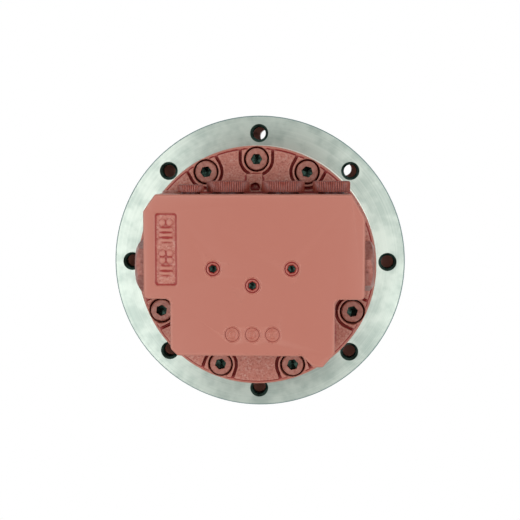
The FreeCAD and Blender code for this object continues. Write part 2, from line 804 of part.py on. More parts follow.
def make_first_carrier():
    radius = first_centre_distance + first_pin_radius + carrier_rim
    body = cylinder(radius, first_carrier_bottom, first_carrier_top)
    pitch = gear_module * second_sun_teeth / 2
    toothed_hole = toothed(second_sun_teeth, gear_module, pressure_angle, pitch + gear_module + spline_gap,
                           pitch - tooth_depth_below * gear_module + spline_gap, flank_gap - spline_gap,
                           first_carrier_bottom - 1, first_carrier_top + 1, second_sun_phase)
    cutters = [toothed_hole]
    for angle in first_planet_angles:
        pin = at(first_centre_distance, angle)
        cutters.append(cylinder(first_pin_radius, first_carrier_bottom - 1, first_carrier_top + 1,
                                pin.x, pin.y))
        window = at(first_centre_distance, angle + math.pi / planet_count)
        cutters.append(cylinder(first_pin_radius, first_carrier_bottom - 1, first_carrier_top + 1,
                                window.x, window.y))
    return without(body, cutters)


def make_second_sun():
    body = gear(second_sun_teeth, first_carrier_bottom, second_top - 0.5, second_sun_phase)
    return body.cut(cylinder(second_sun_bore, first_carrier_bottom - 1, second_top + 1))


# ---- motor shaft group -----------------------------------------------------------------------------------
socket_bottom = spindle_end - socket_drop
stem_top = socket_bottom + socket_depth - 1


def make_first_sun():
    teeth = gear(first_sun_teeth, first_bottom - 1, first_top + 1, 0.0)
    nose = cylinder(stem_radius, cover_top + 1, first_bottom)
    stem = cylinder(stem_radius, first_top, stem_top)
    splined = spline(stem_teeth, socket_bottom + 1, stem_top, spline_gap)
    return merged([teeth, nose, stem, splined])


def make_drive_shaft():
    outline = turned([
        (0, socket_bottom), (socket_radius, socket_bottom), (socket_radius, shaft_bearing_top + 0.3),
        (shaft_radius - 1.5, shaft_bearing_top + 0.3), (shaft_radius - 1.5, block_top_face + 1),
        (journal_radius, block_top_face + 1), (journal_radius, rear_bearing_top - 0.5),
        (0, rear_bearing_top - 0.5),
    ])
    splined = spline(shaft_spline_teeth, block_bottom_face + 4, block_top_face - 4, spline_gap)
    socket = spline(stem_teeth, socket_bottom - 1, socket_bottom + socket_depth, -spline_gap)
    return merged([outline, splined]).cut(socket)


def make_cylinder_block():
    body = cylinder(cylinder_block_radius, block_bottom_face, block_top_face)
    bore = cylinder(piston_radius + piston_gap, block_bottom_face - 1, block_top_face - 6, piston_circle, 0)
    port = cylinder(kidney_half_width - 0.5, block_top_face - 7, block_top_face + 1, piston_circle, 0)
    cutters = around(merged([bore, port]), piston_count)
    cutters.append(spline(shaft_spline_teeth, block_bottom_face - 1, block_top_face + 1, -spline_gap))
    slot = Part.makeBox(drive_slot_depth + 1, drive_slot_width, cylinder_block_length + 2,
                        Vector(cylinder_block_radius - drive_slot_depth, -drive_slot_width / 2,
                               block_bottom_face - 1))
    cutters += around(slot, drive_slot_count)
    return without(body, cutters)


slipper_top = swash_top + slipper_thickness
piston_ball_radius = 4.0
piston_ball_height = slipper_top + 2.5


def make_pistons():
    low = piston_ball_height + 5.5
    body = turned([
        (0, low - 2.5), (3, low - 2.5), (piston_radius - 1, low), (piston_radius, low + 1),
        (piston_radius, block_bottom_face + piston_insertion), (0, block_bottom_face + piston_insertion),
    ])
    ball = Part.makeSphere(piston_ball_radius, Vector(0, 0, piston_ball_height))
    return around(moved(merged([body, ball]), piston_circle, 0), piston_count)


def make_slippers():
    body = turned([
        (0, swash_top), (slipper_radius, swash_top), (slipper_radius, slipper_top - 0.5),
        (slipper_neck, slipper_top - 0.5), (slipper_neck, piston_ball_height + 1),
        (0, piston_ball_height + 1),
    ])
    ball = Part.makeSphere(piston_ball_radius + piston_gap, Vector(0, 0, piston_ball_height))
    return around(moved(body.cut(ball), piston_circle, 0), piston_count)


def make_retainer_plate():
    body = tube(retainer_radius, shaft_radius + 3, slipper_top - 0.5, slipper_top - 0.5 + retainer_thickness)
    hole = cylinder(slipper_neck + 0.2, slipper_top - 2, slipper_top + retainer_thickness + 1,
                    piston_circle, 0)
    return without(body, around(hole, piston_count))


def make_brake_discs():
    discs = []
    for index in range(brake_disc_count):
        bottom = brake_floor + brake_plate_thickness + index * (brake_plate_thickness + brake_disc_thickness)
        top = bottom + brake_disc_thickness
        body = tube(brake_disc_outer, cylinder_block_radius + brake_gap, bottom, top)
        reach = drive_slot_depth + 1
        tongue = Part.makeBox(reach, drive_slot_width - 2 * drive_slot_gap, brake_disc_thickness,
                              Vector(cylinder_block_radius - drive_slot_depth + drive_slot_gap,
                                     -drive_slot_width / 2 + drive_slot_gap, bottom))
        discs.append(merged([body] + around(tongue, drive_slot_count)))
    return discs


def make_brake_plates():
    plates = []
    for index in range(brake_disc_count + 1):
        bottom = brake_floor + index * (brake_plate_thickness + brake_disc_thickness)
        top = bottom + brake_plate_thickness
        disc = cylinder(brake_bore_radius - brake_gap, bottom, top)
        lug = cylinder(brake_lug_radius, bottom, top, brake_bore_radius, 0)
        body = merged([disc] + around(lug, brake_lug_count, math.radians(45)))
        plates.append(body.cut(cylinder(cylinder_block_radius + 1.5, bottom - 1, top + 1)))
    return plates


def make_brake_piston():
    body = tube(cavity_radius - 0.15, brake_piston_inner, brake_piston_bottom + 1.5, brake_piston_top)
    foot = tube(brake_bore_radius - 1, brake_piston_inner, brake_piston_bottom, brake_piston_top - 1)
    pocket = cylinder(brake_spring_radius + 1.2, brake_piston_top - brake_spring_pocket,
                      brake_piston_top + 1, brake_spring_circle, 0)
    return without(merged([body, foot]), around(pocket, brake_spring_count))


def make_brake_springs():
    coil = spring(brake_spring_wire, brake_spring_radius - brake_spring_wire,
                  brake_piston_top - brake_spring_pocket, cavity_top, 6)
    return around(moved(coil, brake_spring_circle, 0), brake_spring_count)


def shaft_bearing_rings(inner, outer, bottom, top):
    circle = (inner + outer) / 2
    ball = ball_share * circle
    wall = (outer - inner - ball) / 2
    middle = (bottom + top) / 2
    inner_ring = bearing_ring(inner, inner + wall, circle, ball, bottom, top, middle)
    outer_ring = bearing_ring(outer - wall, outer, circle, ball, bottom, top, middle)
    balls = ball_ring(ball, circle, middle, shaft_ball_count)
    return inner_ring, outer_ring, balls


def make_oil_seal():
    return turned([
        (socket_radius + 0.02, web_top + 2), (socket_radius + 0.02, oil_seal_top - 2),
        (socket_radius + 1.5, oil_seal_top - 1), (oil_seal_outer, oil_seal_top),
        (oil_seal_outer, web_top), (socket_radius + 4, web_top), (socket_radius + 4, web_top + 1.5),
        (socket_radius + 2, web_top + 1.5),
    ])


def make_swash_plate():
    body = tube(swash_radius, swash_bore, swash_bottom, swash_top)
    pockets = [Part.makeSphere(pivot_ball_radius + thread_gap, Vector(0, side * pivot_circle, swash_bottom))
               for side in (-1, 1)]
    return without(body, pockets)


def make_valve_plate():
    body = tube(valve_plate_radius, journal_radius + 3, block_top_face, cavity_top)
    return without(body, [kidney_slot(side, block_top_face - 1, cavity_top + 1) for side in (-1, 1)])


def kidney_slot(side, bottom, top):
    """Curved slot on the piston circle, on the left or right side."""
    slot = tube(piston_circle + kidney_half_width, piston_circle - kidney_half_width, bottom, top)
    reach = valve_plate_radius + 5
    wedge = prism([(0, 0), (side * reach, reach * 0.9), (side * reach * 1.6, 0),
                   (side * reach, -reach * 0.9)], bottom, top)
    return slot.common(wedge)


# ---- rear flange with the port block ---------------------------------------------------------------------
def screw_strip(place, half_width, bottom, top):
    """Round-ended strip from a screw's centre out to the rim."""
    angle = math.atan2(place.y, place.x)
    strip = Part.makeBox(rear_screw_inset + 3, 2 * half_width, top - bottom,
                         Vector(0, -half_width, bottom))
    strip = about_axis(strip, angle)
    strip.translate(Vector(place.x, place.y, 0))
    return merged([cylinder(half_width, bottom, top, place.x, place.y), strip])


def block_outline():
    foot_right = notch_side - foot_inset
    return [
        (-block_left + left_cut_x, block_top, small_corner), (block_right - right_cut_x, block_top, small_corner),
        (block_right, block_top - right_cut_y, small_corner), (block_right, -notch_top, corner_radius),
        (notch_side, -notch_top, corner_radius), (notch_side, -block_bottom + foot_side_cut, small_corner),
        (foot_right, -block_bottom - block_foot, small_corner),
        (foot_right - foot_width, -block_bottom - block_foot, small_corner),
        (foot_right - foot_width - foot_slope, -block_bottom, small_corner),
        (-notch_side + block_side_cut, -block_bottom, small_corner),
        (-notch_side, -block_bottom + block_side_cut, small_corner), (-notch_side, -notch_top, corner_radius),
        (-block_left, -notch_top, corner_radius), (-block_left, block_top - left_cut_y, small_corner),
    ]


def inset_outline(corners, inset):
    """The same outline, each side moved inwards; the corners run clockwise seen from above."""
    count = len(corners)
    result = []
    for index, (x, y, radius) in enumerate(corners):
        before = corners[index - 1]
        after = corners[(index + 1) % count]
        first = Vector(x - before[0], y - before[1], 0).normalize()
        second = Vector(after[0] - x, after[1] - y, 0).normalize()
        first_in = Vector(first.y, -first.x, 0)
        second_in = Vector(second.y, -second.x, 0)
        reach = inset / (1 + first_in.dot(second_in))
        step = first_in.add(second_in) * reach
        turn = first.x * second.y - first.y * second.x
        result.append((x + step.x, y + step.y, max(0.3, radius - inset if turn < 0 else radius + inset)))
    return result


def make_block():
    low = rounded_prism(block_outline(), screw_seat - 6, cover_face - block_edge)
    high = rounded_prism(inset_outline(block_outline(), block_edge), cover_face - block_edge - 1, cover_face)
    return merged([low, high])


def port_bore(x, height, radius, depth):
    mouth = Vector(x, block_top + 1, ring_face + height)
    return rod(radius + thread_gap, mouth, Vector(x, block_top - depth, ring_face + height))


def tally_marks():
    """Plain foundry tally in the recessed panel: bars and dots, no letters."""
    floor = cover_face - panel_depth
    sunk = floor - panel_depth / 2
    top = cover_face - tally_relief
    middle_x = -(panel_left + panel_right) / 2
    marks = []
    for offset in tally_bars:
        marks.append(Part.makeBox(tally_length, tally_width, top - sunk,
                                  Vector(middle_x - tally_length / 2, panel_bottom + offset, sunk)))
    for offset in tally_dots:
        for side in (-1, 1):
            marks.append(cylinder(tally_dot_radius, sunk, top, middle_x + side * tally_dot_spread,
                                  panel_bottom + offset))
    return marks


def make_rear_flange():
    disc = turned([
        (0, ring_face), (pilot_radius, ring_face), (pilot_radius, rim_top - edge_chamfer / 2),
        (pilot_radius - edge_chamfer / 2, rim_top), (pilot_radius - rim_width, rim_top),
        (pilot_radius - rim_width, land_top), (0, land_top),
    ])
    screw_places = [at(rear_screw_circle, math.radians(angle)) for angle in rear_screw_angles]
    for place in screw_places:
        moat = screw_strip(place, moat_inner + moat_width, rim_top, land_top + 1)
        disc = disc.cut(moat.cut(screw_strip(place, moat_inner, rim_top - 1, land_top + 2)))
    top_screw = rear_screw_circle - moat_inner - 1
    column = Part.makeBox(column_left + column_right, top_screw - block_top + 3, land_height + 2,
                          Vector(-column_left, block_top - 2, ring_face))
    body = merged([disc, make_block(), column])
    cutters = [cylinder(column_recess_radius, land_top - 3, land_top + 3, -1, block_top + 4.5)]
    for place in screw_places:
        cutters.append(cylinder(counterbore_radius, screw_seat, land_top + 3, place.x, place.y))
        cutters.append(cylinder(m12_radius + thread_gap, ring_face - 1, screw_seat + 1, place.x, place.y))
    cutters.append(cylinder(cavity_radius, ring_face - 1, cavity_top))
    cutters.append(cylinder(rear_bearing_outer, cavity_top - 1, rear_bearing_top))
    cutters.append(turned([
        (flange_seal_circle - 1.7, ring_face - 1), (flange_seal_circle + 1.7, ring_face - 1),
        (flange_seal_circle + 1.7, ring_face + 2.9), (flange_seal_circle - 1.7, ring_face + 2.9),
    ]))
    bore_end = block_left + 5
    cutters.append(rod(spool_radius, Vector(-bore_end, valve_axis_y, valve_axis_z),
                       Vector(bore_end, valve_axis_y, valve_axis_z)))
    for side, wall in ((-1, block_left), (1, block_right)):
        cutters.append(rod(valve_thread_radius + thread_gap, Vector(side * (wall + 1), valve_axis_y, valve_axis_z),
                           Vector(side * (wall - valve_thread_length), valve_axis_y, valve_axis_z)))
        cutters.append(kidney_slot(side, cavity_top - 1, cavity_top + 3))
        cutters.append(cylinder(passage_radius - 0.5, cavity_top + 2, valve_axis_z,
                                side * piston_circle, valve_axis_y))
    for x in main_port_places:
        cutters.append(port_bore(x, main_port_height, main_port_bore, port_depth))
        cutters.append(rod(passage_radius, Vector(x, block_top - port_depth + 1, ring_face + main_port_height + 4),
                           Vector(x, valve_axis_y, ring_face + main_port_height + 4)))
    cutters.append(port_bore(drain_port_x, drain_port_height, drain_port_bore, port_depth - 4))
    cutters.append(port_bore(pilot_port_x, pilot_port_height, pilot_port_bore, port_depth - 6))
    cutters.append(port_bore(selector_x, selector_height, selector_thread_radius, selector_thread_length))
    cutters.append(port_bore(selector_x, selector_height, selector_spool_radius + spool_gap - thread_gap,
                             selector_depth))
    for x, y in passage_plug_places:
        cutters.append(cylinder(passage_plug_radius + thread_gap, cover_face - passage_plug_length - 1,
                                cover_face + 1, x, y))
        cutters.append(cone(passage_plug_radius, passage_plug_radius + 0.9, cover_face - 0.8,
                            cover_face + 0.1, x, y))
    for x in disc_places:
        cutters.append(cylinder(disc_radius, cover_face - disc_thickness, cover_face + 1, x, disc_y))
    cutters.append(rounded_prism([
        (-panel_left, panel_top, panel_corner), (-panel_right, panel_top, panel_corner),
        (-panel_right, panel_bottom, panel_corner), (-panel_left, panel_bottom, panel_corner),
    ], cover_face - panel_depth, cover_face + 1))
    return merged([without(body, cutters)] + tally_marks())


flange_seal_circle = (cavity_radius + rear_screw_circle - counterbore_radius) / 2
selector_depth = selector_thread_length + selector_spool_length + selector_travel + selector_spring_length


def make_rear_screws():
    screw = socket_screw(m12_radius, m12_head_radius, m12_head_height, m12_socket, screw_seat,
                         screw_seat_height + m12_thread_length - 1)
    return [moved(screw, place.x, place.y)
            for place in [at(rear_screw_circle, math.radians(angle)) for angle in rear_screw_angles]]


def make_flange_seal():
    return Part.makeTorus(flange_seal_circle, 1.45, Vector(0, 0, ring_face + 1.45), UP)


def make_passage_plugs():
    plugs = []
    for x, y in passage_plug_places:
        body = cylinder(passage_plug_radius, cover_face - passage_plug_length, cover_face - 0.2, x, y)
        plugs.append(body.cut(hexagon(passage_socket, cover_face - 5, cover_face + 1, x, y, math.pi / 6)))
    return plugs


def make_passage_discs():
    discs = []
    for x in disc_places:
        disc = cylinder(disc_radius - 0.1, cover_face - disc_thickness, cover_face, x, disc_y)
        ring = tube(4.0, 3.4, cover_face - 0.25, cover_face + 1, x, disc_y)
        discs.append(disc.cut(ring))
    return discs


# ---- valves in the port block ----------------------------------------------------------------------------
def make_valve_plug():
    """Plug along +X from the block's side face at x = 0; its hexagon's outer corners are bevelled."""
    head = hexagon(valve_plug_flats, 0, valve_plug_reach, 0, 0, valve_plug_turn)
    corner = valve_plug_flats / math.sqrt(3)
    bevelled = merged([
        cylinder(corner + 1, 0, valve_plug_reach - 2.5),
        cone(corner + 1, corner - 2.2, valve_plug_reach - 2.5, valve_plug_reach),
    ])
    shank = cylinder(valve_thread_radius, -valve_thread_length, 0.5)
    body = merged([head.common(bevelled), shank])
    body = body.cut(cylinder(spool_radius - 0.5, -valve_thread_length - 1,
                             -valve_thread_length + valve_spring_pocket))
    groove = tube(valve_thread_radius + 1, valve_thread_radius - 2.2, -3.2, -0.8)
    return along_x(body.cut(groove))


def make_valve_seal():
    return along_x(Part.makeTorus(valve_thread_radius - 1.1, 1.1, Vector(0, 0, -2.0), UP))


def make_valve_pair(piece):
    right = moved(piece, block_right, valve_axis_y, valve_axis_z)
    left = moved(piece.mirror(Vector(0, 0, 0), Vector(1, 0, 0)), -block_left, valve_axis_y, valve_axis_z)
    return [left, right]


def spool_end_gap(wall):
    """From the spool's end to the bottom of a plug's spring pocket."""
    return wall - valve_thread_length + valve_spring_pocket - spool_half_length


def make_valve_springs():
    springs = []
    for side, wall in ((-1, block_left), (1, block_right)):
        coil = along_x(spring(1.2, spool_radius - 3, 0, spool_end_gap(wall), 6))
        if side < 0:
            coil = coil.mirror(Vector(0, 0, 0), Vector(1, 0, 0))
        springs.append(moved(coil, side * spool_half_length, valve_axis_y, valve_axis_z))
    return springs


def make_valve_spool():
    body = cylinder(spool_radius - spool_gap, -spool_half_length, spool_half_length)
    for middle in (-2 * spool_land, 0.0, 2 * spool_land):
        body = body.cut(tube(spool_radius + 1, spool_radius - spool_groove_depth,
                             middle - spool_land / 2, middle + spool_land / 2))
    return moved(along_x(body), 0, valve_axis_y, valve_axis_z)


def selector_piece(shape):
    """Places a piece drawn along +Z from the block's side face onto the selector's axis, pointing out."""
    return moved(along_y(shape), selector_x, block_top, ring_face + selector_height)


def make_selector_plug():
    head = turned([
        (0, 0), (selector_plug_radius, 0), (selector_plug_radius, selector_plug_head - 0.5),
        (selector_plug_radius - 0.5, selector_plug_head), (0, selector_plug_head),
    ])
    shank = cylinder(selector_thread_radius, -selector_thread_length + 0.5, 0.2)
    return selector_piece(merged([head, shank]).cut(hexagon(6, -4, 5)))


def make_selector_spool():
    radius = selector_spool_radius
    top = -selector_thread_length
    body = cylinder(radius, top - selector_spool_length, top)
    groove_top = top - selector_groove_start
    body = body.cut(tube(radius + 1, radius - selector_groove_depth,
                         groove_top - selector_groove_width, groove_top))
    return selector_piece(body)


def make_selector_spring():
    top = -selector_thread_length - selector_spool_length
    return selector_piece(spring(0.6, 3.6, -selector_depth, top, 6))


# ---- transport caps --------------------------------------------------------------------------------------
def port_cap(x, height, bore, radius, cap_height):
    """Screwed plastic cap: a skirt with a bevelled top and a hollow threaded spigot in the port."""
    skirt = turned([
        (0, cap_lift), (radius, cap_lift), (radius, cap_height - 1.2), (radius - 1.2, cap_height),
        (radius - 3.5, cap_height), (radius - 4, cap_height - 0.6), (0, cap_height - 0.6),
    ])
    collar = cylinder(bore + 2, 0, cap_lift + 0.5)
    spigot = cylinder(bore, -10, 0.5).cut(cylinder(bore - 2, -11, -2))
    body = merged([skirt, collar, spigot])
    return moved(along_y(body), x, block_top, ring_face + height)


# ---- build -----------------------------------------------------------------------------------------------
def build():
    os.makedirs("parts", exist_ok=True)
    save("spindle", make_spindle())
    save("rear_flange", make_rear_flange())
    save("rear_flange_screws", group(make_rear_screws()))
    save("rear_flange_seal", make_flange_seal())
    save("passage_plugs", group(make_passage_plugs()))
    save("passage_discs", group(make_passage_discs()))
    save("valve_plugs", group(make_valve_pair(make_valve_plug())))
    save("valve_plug_seals", group(make_valve_pair(make_valve_seal())))
    save("valve_springs", group(make_valve_springs()))
    save("counterbalance_spool", make_valve_spool())
    save("selector_plug", make_selector_plug())
    save("selector_spool", make_selector_spool())
    save("selector_spring", make_selector_spring())
    save("pilot_port_cap", port_cap(pilot_port_x, pilot_port_height, pilot_port_bore, pilot_cap_radius,
                                    pilot_cap_height))
    save("main_port_caps", group([
        port_cap(x, main_port_height, main_port_bore, main_cap_radius, main_cap_height)
        for x in main_port_places
    ]))
    save("drain_port_cap", port_cap(drain_port_x, drain_port_height, drain_port_bore, drain_cap_radius,
                                    drain_cap_height))

    save("hub", make_hub())
    save("end_cover", make_end_cover())
    save("end_cover_screws", group(make_cover_screws()))
    save("oil_plugs", group(make_oil_plugs()))
    save("end_cover_seal", Part.makeTorus(cover_seal_circle, cover_seal_radius,
                                          Vector(0, 0, cover_seal_height), UP))
    save("main_bearing_inner_rings", group(make_main_inner_rings()))
    save("main_bearing_outer_rings", group(make_main_outer_rings()))
    save("main_bearing_balls", group(
        ball_ring(main_ball_radius, main_ball_circle, lower_ball_height, bearing_ball_count)
        + ball_ring(main_ball_radius, main_ball_circle, upper_ball_height, bearing_ball_count)))
    save("turning_seal_ring", make_seal_ring())
    save("turning_seal_cord", make_seal_cord())
    save("fixed_seal_ring", upside_down(make_seal_ring(), seal_face))
    save("fixed_seal_cord", upside_down(make_seal_cord(), seal_face))

    save("second_carrier", make_second_carrier())
    save("second_carrier_screws", group(make_second_carrier_screws()))
    save("second_planet_pins", group(make_pins(second_pin_radius, second_bottom, spindle_end,
                                               second_centre_distance, second_planet_angles)))
    save("second_planet_rollers", group(make_rollers(second_pin_radius, second_bottom, second_top,
                                                     second_centre_distance, second_planet_angles)))
    save("first_carrier", make_first_carrier())
    save("second_sun", make_second_sun())
    save("first_planet_pins", group(make_pins(first_pin_radius, first_bottom, first_carrier_top,
                                              first_centre_distance, first_planet_angles)))
    save("first_planet_rollers", group(make_rollers(first_pin_radius, first_bottom, first_top,
                                                    first_centre_distance, first_planet_angles)))
    for index in range(planet_count):
        save("first_planet_%d" % (index + 1),
             make_planet(first_planet_teeth, first_pin_radius, first_bottom, first_top,
                         first_centre_distance, first_planet_angles[index], first_sun_teeth, 0.0))
        save("second_planet_%d" % (index + 1),
             make_planet(second_planet_teeth, second_pin_radius, second_bottom, second_top,
                         second_centre_distance, second_planet_angles[index], second_sun_teeth,
                         second_sun_phase))

    front = shaft_bearing_rings(socket_radius, shaft_bearing_outer, oil_seal_top + 0.5, shaft_bearing_top)
    rear = shaft_bearing_rings(journal_radius, rear_bearing_outer, cavity_top, rear_bearing_top)
    save("shaft_bearing_inner_rings", group([front[0], rear[0]]))
    save("shaft_bearing_outer_rings", group([front[1], rear[1]]))
    save("shaft_bearing_balls", group(front[2] + rear[2]))
    save("first_sun", make_first_sun())
    save("drive_shaft", make_drive_shaft())
    save("shaft_oil_seal", make_oil_seal())
    save("cylinder_block", make_cylinder_block())
    save("pistons", group(make_pistons()))
    save("slippers", group(make_slippers()))
    save("retainer_plate", make_retainer_plate())
    save("swash_plate", make_swash_plate())
    save("swash_pivots", group([Part.makeSphere(pivot_ball_radius, Vector(0, side * pivot_circle, swash_bottom))
                                for side in (-1, 1)]))
    save("swash_piston", cylinder(speed_piston_radius, swash_bottom - speed_piston_length + 1,
                                  swash_bottom - 0.1, -pivot_circle, 0))
    save("valve_plate", make_valve_plate())
    save("brake_plates", group(make_brake_plates()))
    save("brake_discs", group(make_brake_discs()))
    save("brake_piston", make_brake_piston())
    save("brake_springs", group(make_brake_springs()))


build()
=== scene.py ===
import json
import math

import bmesh
import bpy
import numpy as np
from mathutils import Matrix, Vector


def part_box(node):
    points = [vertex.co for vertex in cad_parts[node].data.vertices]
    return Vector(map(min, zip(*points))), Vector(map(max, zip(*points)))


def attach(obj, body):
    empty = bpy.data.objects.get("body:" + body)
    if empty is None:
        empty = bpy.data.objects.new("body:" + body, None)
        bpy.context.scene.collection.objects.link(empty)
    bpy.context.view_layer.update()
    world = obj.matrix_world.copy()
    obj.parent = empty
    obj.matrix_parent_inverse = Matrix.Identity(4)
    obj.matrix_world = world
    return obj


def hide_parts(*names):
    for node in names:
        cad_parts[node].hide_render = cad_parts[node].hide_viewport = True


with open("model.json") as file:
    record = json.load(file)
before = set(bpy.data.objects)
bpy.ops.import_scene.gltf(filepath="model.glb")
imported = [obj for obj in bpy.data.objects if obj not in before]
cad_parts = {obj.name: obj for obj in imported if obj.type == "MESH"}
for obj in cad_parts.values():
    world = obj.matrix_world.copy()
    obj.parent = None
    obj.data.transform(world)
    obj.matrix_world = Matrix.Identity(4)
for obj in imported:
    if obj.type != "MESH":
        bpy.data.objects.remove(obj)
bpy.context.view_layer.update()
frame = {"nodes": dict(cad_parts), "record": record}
mm = 0.001
record = frame["record"]
print("stage: frame loaded,", len(frame["nodes"]), "nodes")

# sizes and places in the dictionaries are millimetres in the frame's axes, angles are degrees, and the room's
# sizes are metres


# small helpers

def hexColour(text):
    channels = [int(text[i:i + 2], 16) / 255 for i in (0, 2, 4)]
    linear = [c / 12.92 if c <= 0.04045 else ((c + 0.055) / 1.055) ** 2.4 for c in channels]
    return linear + [1.0]


def addNode(tree, kind, settings=None, inputs=None, output=0):
    # inputs are a dictionary of sockets or a list in their order; a socket as a value is linked
    node = tree.nodes.new("ShaderNode" + kind)
    for name, value in (settings or {}).items():
        setattr(node, name, value)
    values = inputs or {}
    for name, value in values.items() if isinstance(values, dict) else enumerate(values):
        if isinstance(value, bpy.types.NodeSocket):
            tree.links.new(value, node.inputs[name])
        else:
            node.inputs[name].default_value = value
    return node.outputs[output] if node.outputs else None


def newMaterial(name):
    material = bpy.data.materials.new(name)
    material.use_nodes = True
    material.node_tree.nodes.clear()
    return material, material.node_tree


colourMix = {"data_type": "RGBA"}
softStep = {"interpolation_type": "SMOOTHSTEP"}
times = {"operation": "MULTIPLY"}
plus = {"operation": "ADD"}
minus = {"operation": "SUBTRACT"}


# finishes

paintLook = {
    "face": "AE6959",        # the sprayed red where it lies smooth
    "mottle": "B26F60",      # broad, very faint clouds in it
    "pale": "C0978B",        # grains of the casting that catch the light
    "deep": "6E261B",        # painted shade between the grains
    "crease": "820F04",      # painted shade along inner corners
    "wearAndHighlight": "C58A7A",        # lighter on outer edges: thin worn paint and a painted highlight
    "roughness": 0.45,
    "ior": 1.45,
    "grainMm": 1.6,          # sand grain under the paint, drawn coarser than the real 0.3 mm so that it shows
    "patchMm": 4.5,          # patches where more grains stand out
    "mottleMm": 9.0,
    "grainHeightMm": 0.3,
    "smoothShare": 0.03,     # of the grain's height, left on milled faces
}


def paintedCasting(name):
    # alkyd paint sprayed over sand cast iron: an even satin red where the face was milled, grainy and blotched
    # where the mould left its sand, with painted highlights on the grains' crests and painted shade between them,
    # painted shade in dark red along the inner corners and a painted highlight with thin worn paint on outer edges
    look = paintLook
    material, tree = newMaterial(name)
    point = addNode(tree, "TexCoord", output="Object")
    rough = addNode(tree, "Attribute", {"attribute_name": "sand"}, output="Fac")
    hollow = addNode(tree, "Attribute", {"attribute_name": "hollow"}, output="Fac")
    grain, patch, mottle = (
        addNode(tree, "TexNoise", inputs={
            "Vector": point, "Scale": 1 / (look[size] * mm), "Detail": detail, "Roughness": spread})
        for size, detail, spread in (("grainMm", 4.0, 0.6), ("patchMm", 3.0, 0.6), ("mottleMm", 2.0, 0.5)))
    bright = addNode(tree, "Math", {"operation": "MULTIPLY_ADD"}, [patch, 0.5, grain])
    # lighter on the grains' crests as painted highlight, darker between them as painted shade
    standing = addNode(tree, "MapRange", softStep, [bright, 0.72, 1.0, 0.0, 0.7])
    sunken = addNode(tree, "MapRange", softStep, [grain, 0.5, 0.28, 0.0, 0.6])
    colour = hexColour(look["face"])
    for share, tint in (
            (addNode(tree, "MapRange", None, [mottle, 0.3, 0.7, 0.0, 0.12]), "mottle"),
            (addNode(tree, "Math", times, [standing, rough]), "pale"),
            (addNode(tree, "Math", times, [sunken, rough]), "deep"),
            # painted shade in dark red where the hollow attribute finds inner corners
            (addNode(tree, "MapRange", softStep, [hollow, 0.03, 0.16, 0.0, 1.0]), "crease"),
            # outer edges lighter: worn paint and a painted highlight
            (addNode(tree, "MapRange", softStep, [hollow, -0.06, -0.25, 0.0, 0.35]), "wearAndHighlight")):
        colour = addNode(tree, "Mix", colourMix, {0: share, 6: colour, 7: hexColour(look[tint])}, 2)
    relief = addNode(tree, "Math", {"operation": "MULTIPLY_ADD"}, [rough, 1 - look["smoothShare"], look["smoothShare"]])
    relief = addNode(tree, "Math", times, [grain, relief])
    bump = addNode(tree, "Bump", inputs={"Strength": 1.0, "Distance": look["grainHeightMm"] * mm, "Height": relief})
    shader = addNode(tree, "BsdfPrincipled", inputs={
        "Base Color": colour, "Roughness": look["roughness"], "IOR": look["ior"], "Normal": bump})
    addNode(tree, "OutputMaterial", inputs={"Surface": shader})
    return material


smoothPaintLook = {
    "roughness": 0.38,
    "peelMm": 1.2,           # orange peel of the spray
    "peelHeightMm": 0.1,
    "stainMm": 2.6,          # stamped marks and handling, as blotches
}


def paintedSteel(name, colour, stainAndShade, wearAndHighlight):
    # the same paint over turned or moulded pieces: smoother, with a faint orange peel, random lighter and darker
    # blotches, and painted shade where the hollow attribute marks grooves and joints
    look = smoothPaintLook
    material, tree = newMaterial(name)
    point = addNode(tree, "TexCoord", output="Object")
    hollow = addNode(tree, "Attribute", {"attribute_name": "hollow"}, output="Fac")
    peel = addNode(tree, "TexNoise", inputs={
        "Vector": point, "Scale": 1 / (look["peelMm"] * mm), "Detail": 2.0})
    stain = addNode(tree, "TexNoise", inputs={
        "Vector": point, "Scale": 1 / (look["stainMm"] * mm), "Detail": 4.0, "Roughness": 0.6})
    tone = hexColour(colour)
    # random stain blotches lighten and darken the paint; the hollow attribute adds painted shade in grooves and joints
    for value, low, high, most, tint in (
            (stain, 0.42, 0.72, 0.7, wearAndHighlight), (stain, 0.44, 0.26, 0.7, stainAndShade), (hollow, 0.0, 1.0, 1.0, stainAndShade)):
        share = addNode(tree, "MapRange", softStep, [value, low, high, 0.0, most])
        tone = addNode(tree, "Mix", colourMix, {0: share, 6: tone, 7: hexColour(tint)}, 2)
    bump = addNode(tree, "Bump", inputs={"Strength": 0.5, "Distance": look["peelHeightMm"] * mm, "Height": peel})
    shader = addNode(tree, "BsdfPrincipled", inputs={
        "Base Color": tone, "Roughness": look["roughness"], "IOR": paintLook["ior"], "Normal": bump})
    addNode(tree, "OutputMaterial", inputs={"Surface": shader})
    return material


ringLook = {
    "steel": "B3BFB6",       # turned face between the highlights
    "dull": "97A69E",        # clouds of oil and handling
    "bright": "D5DCD3",      # painted highlight on the crests of the feed marks
    "corner": "E4E6DC",      # painted highlight along the pilot's edge
    "edge": "6F8583",        # the chamfered rim turns away from the light
    "inside": "31463F",      # oiled thread and chamfer of the holes, darker as painted shade
    "holeCircle": 111.0,
    "holeReach": 7.7,
    "holeCount": 8,
    "rim": 125.0,
    "pilot": 100.7,
    "grooveMm": 0.9,         # feed marks of the lathe, 0.2 mm in the real part, drawn as coarse as they show
    "grooveHeightMm": 0.02,
    "cloudMm": 14.0,
    "roughness": 0.4,
    "stretch": 0.85,         # how far the feed marks stretch a highlight
    "stretchTurn": 0.25,     # a quarter turn, across the marks
}


